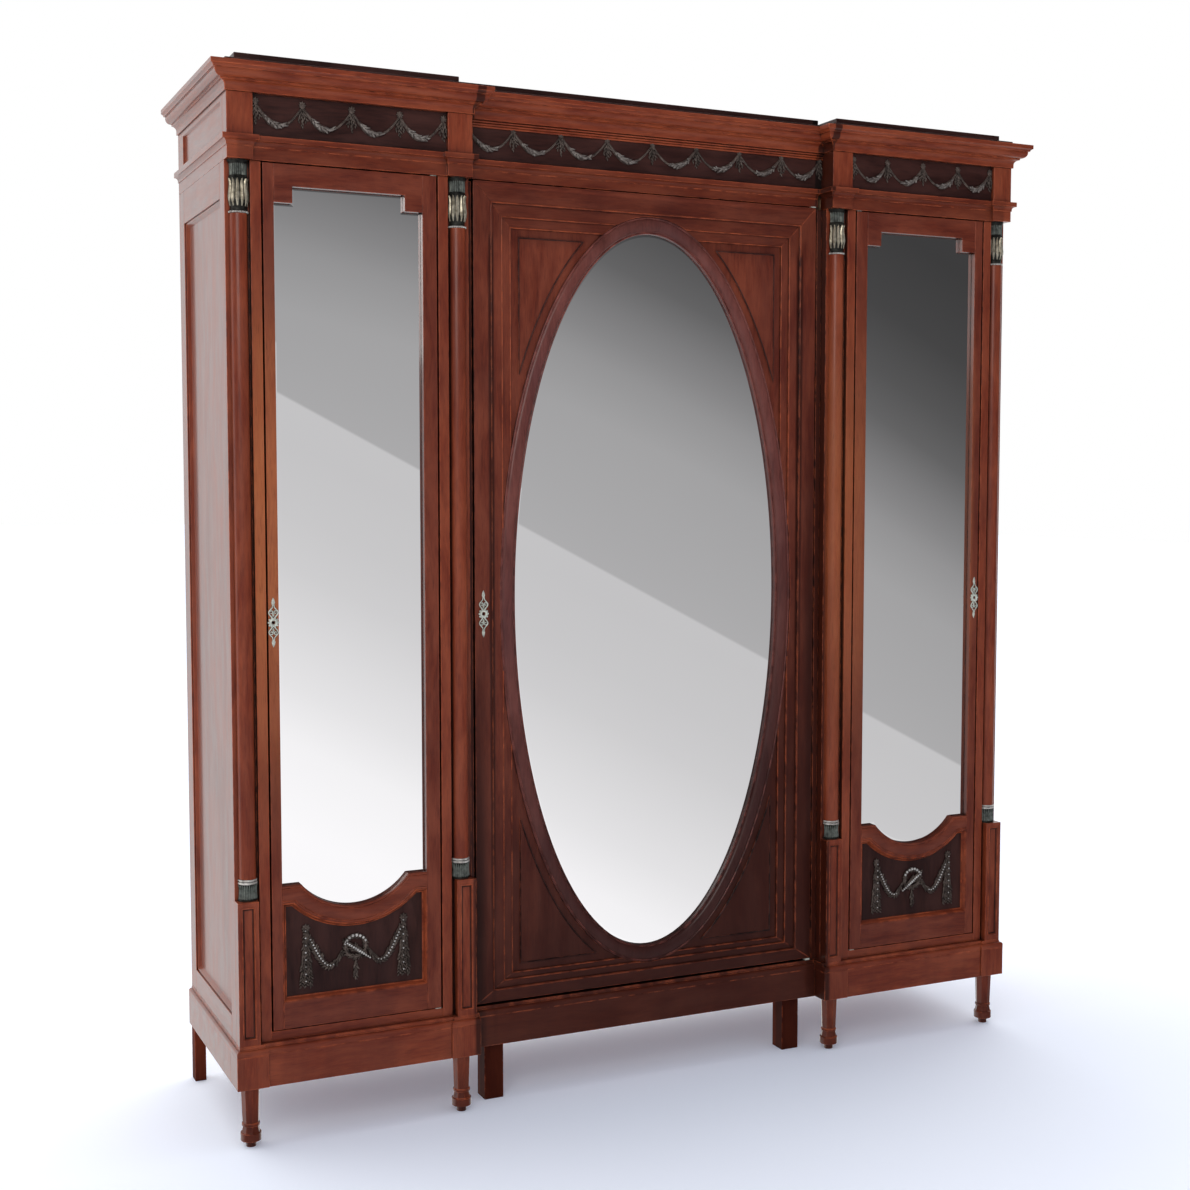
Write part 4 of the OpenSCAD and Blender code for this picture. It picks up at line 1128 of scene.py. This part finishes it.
def festoon_row(name, x0, x1, count, face, light_from):
    """A row of festoons between two ends; light_from tells at which end of each one its leaves begin."""
    span, tall = (x1 - x0) / count, frieze_high.z - frieze_low.z
    knot_z, sag = frieze_low.z + tall * KNOT_AT, tall * SAG
    knots = [x0 + span * k for k in range(count + 1)]
    ends = [knots[0] + END_GAP, knots[-1] - END_GAP]
    shape = Shape()
    arcs, sprays, tassels = [], [], []
    for k in range(count):
        a, b = (ends[0] if k == 0 else knots[k]), (ends[1] if k == count - 1 else knots[k + 1])
        if light_from(k) < 0:
            a, b = b, a
        arc = sagging((a, knot_z), (b, knot_z), sag, face)
        arcs.append(arc)
        shape.add(*tube(arc[1:1 + len(HORN)], HORN, 8, 0.8))
        sprays.append([(x, y - 5.0 * MM, z) for x, y, z in arc[4:1 + len(HORN)]])
    for x in knots[1:-1] + ends:
        for wing in (-1, 0, 1):
            tassels.append([(x + wing * 0.28 * m * TASSEL_STEP, face, knot_z - m * TASSEL_STEP)
                            for m in range(11 if wing else 15)])
        flower = rosette(x, face - 0.6 * MM, knot_z + 3 * MM, 9.0 * MM)
        shape.add(flower.points, flower.faces)
    shape.add_mesh(strung(arcs, "bead", 4.0, 3.4, 0.3, 0.0, 5))
    # The sprays take the lighter bronze, a painted highlight.
    shape.add_mesh(strung(sprays, "leaf", 3.8, 1.7, 0.3, 0.30, 3), finish=1)
    shape.add_mesh(strung(tassels, "leaf", 4.6, 1.25, 0.3, 0.3, 7))
    make(name, shape, [bronze_swag, bronze_highlight], "carcass", slot="bronze", angle=180)


frieze_low, frieze_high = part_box("frieze_panels")
block_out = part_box("frieze_blocks")[1].x - 59 * MM
side_frieze_x0 = centre_edge + 61 * MM
side_face = frieze_low.y - 0.3 * MM
centre_frieze_y = side_face + 45 * MM
festoon_row("frieze_swags_right", side_frieze_x0, block_out, 4, side_face, lambda k: -1)
festoon_row("frieze_swags_left", -block_out, -side_frieze_x0, 4, side_face, lambda k: 1)
festoon_row("frieze_swags_centre", -centre_edge, centre_edge, 8, centre_frieze_y,
            lambda k: 1 if k < 4 else -1)

fillets = Shape()
for drop, out in ((2.5, 5.0), (8.5, 3.2), (14.0, 1.6)):
    z, y = frieze_high.z - drop * MM, centre_frieze_y - out * MM
    fillets.add(*tube([(-centre_edge, y, z), (centre_edge, y, z)], 2.7 * MM))
make("centre_frieze_fillets", fillets, WOODS["mahogany", "x"], "carcass", slot="mahogany")

# %% [markdown]
# ## Garlands on the lower door panels
#
# A round wreath hangs in the middle of each panel with a ribbon slung across it, festoons swing from it to a
# rosette on either side, and a drop that widens downwards hangs from each rosette.

# %% Door garlands
WREATH_R, OUT = 25 * MM, 119 * MM
BEADS = 1  # the second finish of a garland


def garland():
    face = panel_face - 0.4 * MM
    mid, mid_z, tip_z = open_mid, panel_low.z + 110 * MM, panel_low.z + 166 * MM
    shape = Shape()

    def ring_path(radius, depth, angles):
        return [(mid + radius * math.cos(t), face - depth * MM, mid_z + radius * math.sin(t)) for t in angles]

    def slung(depth, start, step_):
        """A straight path across the wreath, from a start by a step in millimetres, both (x, z)."""
        return [(mid + (start[0] + step_[0] * k / 12) * MM, face - depth * MM,
                 mid_z + (start[1] + step_[1] * k / 12) * MM) for k in range(13)]

    shape.add(*ring_tube((mid, face - 1.5 * MM, mid_z), WREATH_R, WREATH_R, 3.0 * MM))
    wreath = ring_path(WREATH_R, 1, [2 * math.pi * k / 24 for k in range(25)])
    beads = ring_path(27 * MM, 4, [math.pi * (0.1 + 0.75 * k / 12) for k in range(13)])
    shape.add_mesh(strung([wreath], "leaf", 2.6, 1.15, 0.0, 0.65, 2))
    shape.add_mesh(strung([beads], "bead", 8, 3.9, 0.2, 0.0, 2), finish=BEADS)
    shape.add_mesh(strung([slung(3, (-36, -32), (64, 48))], "leaf", 3.0, 1.9, 0.6, 0.4, 9))
    shape.add_mesh(strung([slung(7, (-34, -30), (60, 44))], "bead", 6.0, 3.4, 0.4, 0.0, 9), finish=BEADS)
    swags, drops, pearls = [], [], []
    for s in (-1, 1):
        start, end = (mid + s * 30 * MM, mid_z - 6 * MM), (mid + s * OUT, tip_z - 8 * MM)
        path = []
        for f in [k / 18 for k in range(19)]:
            sag = 62 * MM * math.sin(math.pi * f) * (1.12 - 0.5 * f)
            z = start[1] + (end[1] - start[1]) * f - sag
            path.append((start[0] + (end[0] - start[0]) * f, face - 1 * MM, z))
        swags.append(path)
        pearls.append([(p[0], face - 5.4 * MM, p[2] + 1.5 * MM) for p in path[5:17]])
        drops.append([(mid + s * OUT, face - 1 * MM, tip_z - 5.4 * MM * k) for k in range(26)])
        flower = rosette(mid + s * OUT, face - 1.5 * MM, tip_z, 11 * MM, 4.5 * MM)
        shape.add(flower.points, flower.faces)
    shape.add_mesh(strung(swags, "leaf", 2.6, 1.7, 0.45, 0.6, 4))
    shape.add_mesh(strung(pearls, "bead", 7.5, 2.6, 0.3, 0.0, 6), finish=BEADS)
    for path in drops:
        for wing in (-1, 0, 1):
            strand = [(x + wing * 0.085 * (tip_z - z), y, z) for x, y, z in path]
            shape.add_mesh(strung([strand], "leaf", 4.2, 1.45, 0.35, 0.55, 5 + wing))
        dew = [(x + 2 * MM, y - 5.0 * MM, z) for x, y, z in path[1:24]]
        shape.add_mesh(strung([dew], "bead", 15, 2.2, 0.2, 0.0, 6), finish=BEADS)
    pendant = [(mid, face - 1 * MM, mid_z - (28 + 3.6 * k) * MM) for k in range(14)]
    return shape.add_mesh(strung([pendant], "leaf", 3.4, 1.5, 0.5, 0.5, 8))


# The beads of the garlands take the near-white finish, a painted glint.
for side in ("right", "left"):
    make(side + "_garland_cast", garland().on(side), [bronze_swag, bead_glint], side + "_door",
         side + "_garland", angle=180)

# %% [markdown]
# ## Escutcheons
#
# Each keyhole has a pierced plate of washed brass: a round boss with petals at the keyhole, and above and
# below it a pair of scrolled loops that close into a pointed leaf.

# %% Escutcheons
def escutcheon(x, face, z):
    shape = Shape().add(*ring_tube((x, face - 1.2 * MM, z), 7.4 * MM, 7.4 * MM, 3.4 * MM, 26))
    petal = ball_shape(2.6 * MM, 0.6)
    tip, tongue = leaf_shape(20 * MM, 8.4 * MM, 2.2 * MM), leaf_shape(14 * MM, 5.0 * MM, 2.4 * MM)
    for a in [2 * math.pi * k / 10 for k in range(10)]:
        out_x, out_z = 11 * MM * math.cos(a), 11 * MM * math.sin(a)
        shape.put(petal, lambda p: (x + p.x + out_x, face + p.y - 1.2 * MM, z + p.z + out_z))
    for s in (-1, 1):
        for w in (-1, 1):
            scroll = []
            for f in [k / 21 for k in range(22)]:
                across = 3.0 + 7.6 * math.sin(math.pi * min(f * 1.25, 1.0)) ** 1.2
                across *= (1 - 0.75 * max(0, f - 0.45)) * (1 if f < 0.92 else 0.75)
                scroll.append((x + w * across * MM, face - 1.3 * MM, z + s * (11 + 30 * f) * MM))
            shape.add(*tube(scroll, [1.7 * MM * (1 - 0.35 * k / 21) for k in range(22)]))
            turns = [0.5 + 5.2 * k / 16 for k in range(17)]
            curl = [(x + w * (4.4 + 2.9 * math.cos(t)) * MM, face - 1.6 * MM,
                     z + s * (24 + 2.9 * math.sin(t)) * MM) for t in turns]
            shape.add(*tube(curl, 1.1 * MM, 6))
        shape.put(tip, lambda p: (x + p.z, face + p.y, z + s * (37 * MM + p.x)))
        shape.put(tongue, lambda p: (x + p.z, face + p.y - 0.4 * MM, z + s * (12 * MM + p.x)))
    return shape


for name in ("left", "right", "centre"):
    low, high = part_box(name + "_escutcheon")
    cast = escutcheon((low.x + high.x) / 2, high.y - 0.1 * MM, (low.z + high.z) / 2)
    make(name + "_escutcheon_cast", cast, brass, name + "_door", name + "_escutcheon", angle=45)

for pattern in patterns.values():
    bpy.data.objects.remove(pattern)

# %% [markdown]
# ## Floor, light and camera
#
# The armoire stands on a pale floor in a bright, soft room. The room is painted in the world shader by
# direction: white all round, and in front of the doors, where the mirrors look, a wall that fades upwards
# and to one side into shade, ending at a slanting line above a paler floor. The mirrors reflect exactly
# that. Varnish and bronze see the wall much dimmed, so that it lays no haze over the dark wood; a ray from
# the camera sees plain white; and soft light comes from a separate glow. The staged floor is hidden from
# reflections, so the painted one takes its place there.

# %% World
world = bpy.data.worlds.new("Soft room")
bpy.context.scene.world = world
world.use_nodes = True
w = world.node_tree
w.nodes.clear()
ray = add(w, "ShaderNodeTexCoord").outputs["Generated"]
parts = add(w, "ShaderNodeSeparateXYZ", {0: ray}).outputs
to_degrees = 180 / math.pi
azimuth = times(calc("ARCTAN2", parts["X"], times(parts["Y"], -1.0)), to_degrees)
height = times(calc("ARCSINE", parts["Z"]), to_degrees)
bounded = calc("MINIMUM", most(azimuth, 0.0), 42.0)
from_mid = minus(bounded, 25.0)
half_bright = plus(5.2, plus(times(from_mid, -0.4577), times(from_mid, from_mid, -0.01077)))
wall_at = slope(minus(height, half_bright), from_low=-10.0, from_high=10.0)
wall = colour_ramp(wall_at, [
    (0.0, 0.46), (0.15, 0.42), (0.35, 0.375), (0.45, 0.305), (0.5, 0.25), (0.55, 0.205), (0.625, 0.13),
    (0.70, 0.095), (0.81, 0.062), (0.95, 0.048)])
ground_at = slope(plus(height, times(minus(bounded, 15.0), 0.5)), from_low=-12.0, from_high=3.0)
ground = colour_ramp(ground_at, [
    (0.0, 1.0), (0.2, 0.93), (0.33, 0.81), (0.47, 0.72), (0.6, 0.64), (0.72, 0.60), (0.88, 0.57)])
SKIRTING = (0.4525, 0.1639, 0.8766)  # square to the plane that the slanting line lies in
line = add(w, "ShaderNodeVectorMath", {0: ray, 1: SKIRTING}, operation="DOT_PRODUCT").outputs["Value"]
WHITE, BLACK = (1.0, 1.0, 1.0), (0.0, 0.0, 0.0)
behind = step(calc("ABSOLUTE", azimuth), 80.0, 112.0)
room = blend(behind, blend(step(line, 0.001, -0.001), wall, ground), WHITE)
path = add(w, "ShaderNodeLightPath").outputs
dimmed = times(minus(1.0, path["Is Singular Ray"]), minus(1.0, behind), 0.9)
room = blend(path["Is Camera Ray"], blend(dimmed, room, BLACK), WHITE)
fill = blend(step(parts["Y"], -0.35, 0.45), (0.50, 0.52, 0.60), (1.9, 1.9, 1.9))
seen, glow = [add(w, "ShaderNodeBackground", {"Color": colour, "Strength": 1.0}).outputs[0]
              for colour in (room, fill)]
mixed = add(w, "ShaderNodeMixShader", {0: path["Is Diffuse Ray"], 1: seen, 2: glow}).outputs[0]
add(w, "ShaderNodeOutputWorld", {0: mixed})

# %% Floor
corners = [(-30, -12, 0), (30, -12, 0), (30, 60, 0), (-30, 60, 0)]
floor = build("studio_floor", Shape().add(corners, [[0, 1, 2, 3]]), outward=False)
paint, tree, shader, here = new_material("Studio_floor_paint")
tone = colour_ramp(noise(here, 1.5, 2.0), [(0.0, (0.87, 0.90, 0.96)), (1.0, (0.90, 0.93, 0.99))])
feed(shader, {"Base Color": tone, "Roughness": 0.9, "Specular IOR Level": 0.0,
              "Emission Color": (0.70, 0.80, 1.0, 1), "Emission Strength": 0.14})
floor.data.materials.append(paint)
floor.visible_glossy = False

# %% Key light
LAMP_AT, AIM = Vector((-2.8, -4.2, 3.4)), Vector((0, 0, 1.3))
LAMP_SIZE, WATTS = 2.6, 55
light = bpy.data.lights.new("Key_light", "AREA")
light.shape, light.size, light.size_y = "RECTANGLE", LAMP_SIZE, LAMP_SIZE
light.energy, light.color = WATTS, (1.0, 0.97, 0.93)
lamp = bpy.data.objects.new("Key_light", light)
lamp.location = LAMP_AT
lamp.rotation_euler = (AIM - LAMP_AT).to_track_quat("-Z", "Y").to_euler()
bpy.context.scene.collection.objects.link(lamp)

# %% Camera
camera = bpy.data.objects.new("Camera", bpy.data.cameras.new("Camera"))
bpy.context.scene.collection.objects.link(camera)
camera.location = (-1.9138, -3.9474, 1.5275)
camera.rotation_euler = (math.radians(90 - 3.83), 0, math.radians(-25.06))
camera.data.lens = 50.18
camera.data.sensor_width = 36
bpy.context.scene.camera = camera
bpy.context.scene.view_settings.view_transform = "Standard"
bpy.context.scene.view_settings.look = "None"
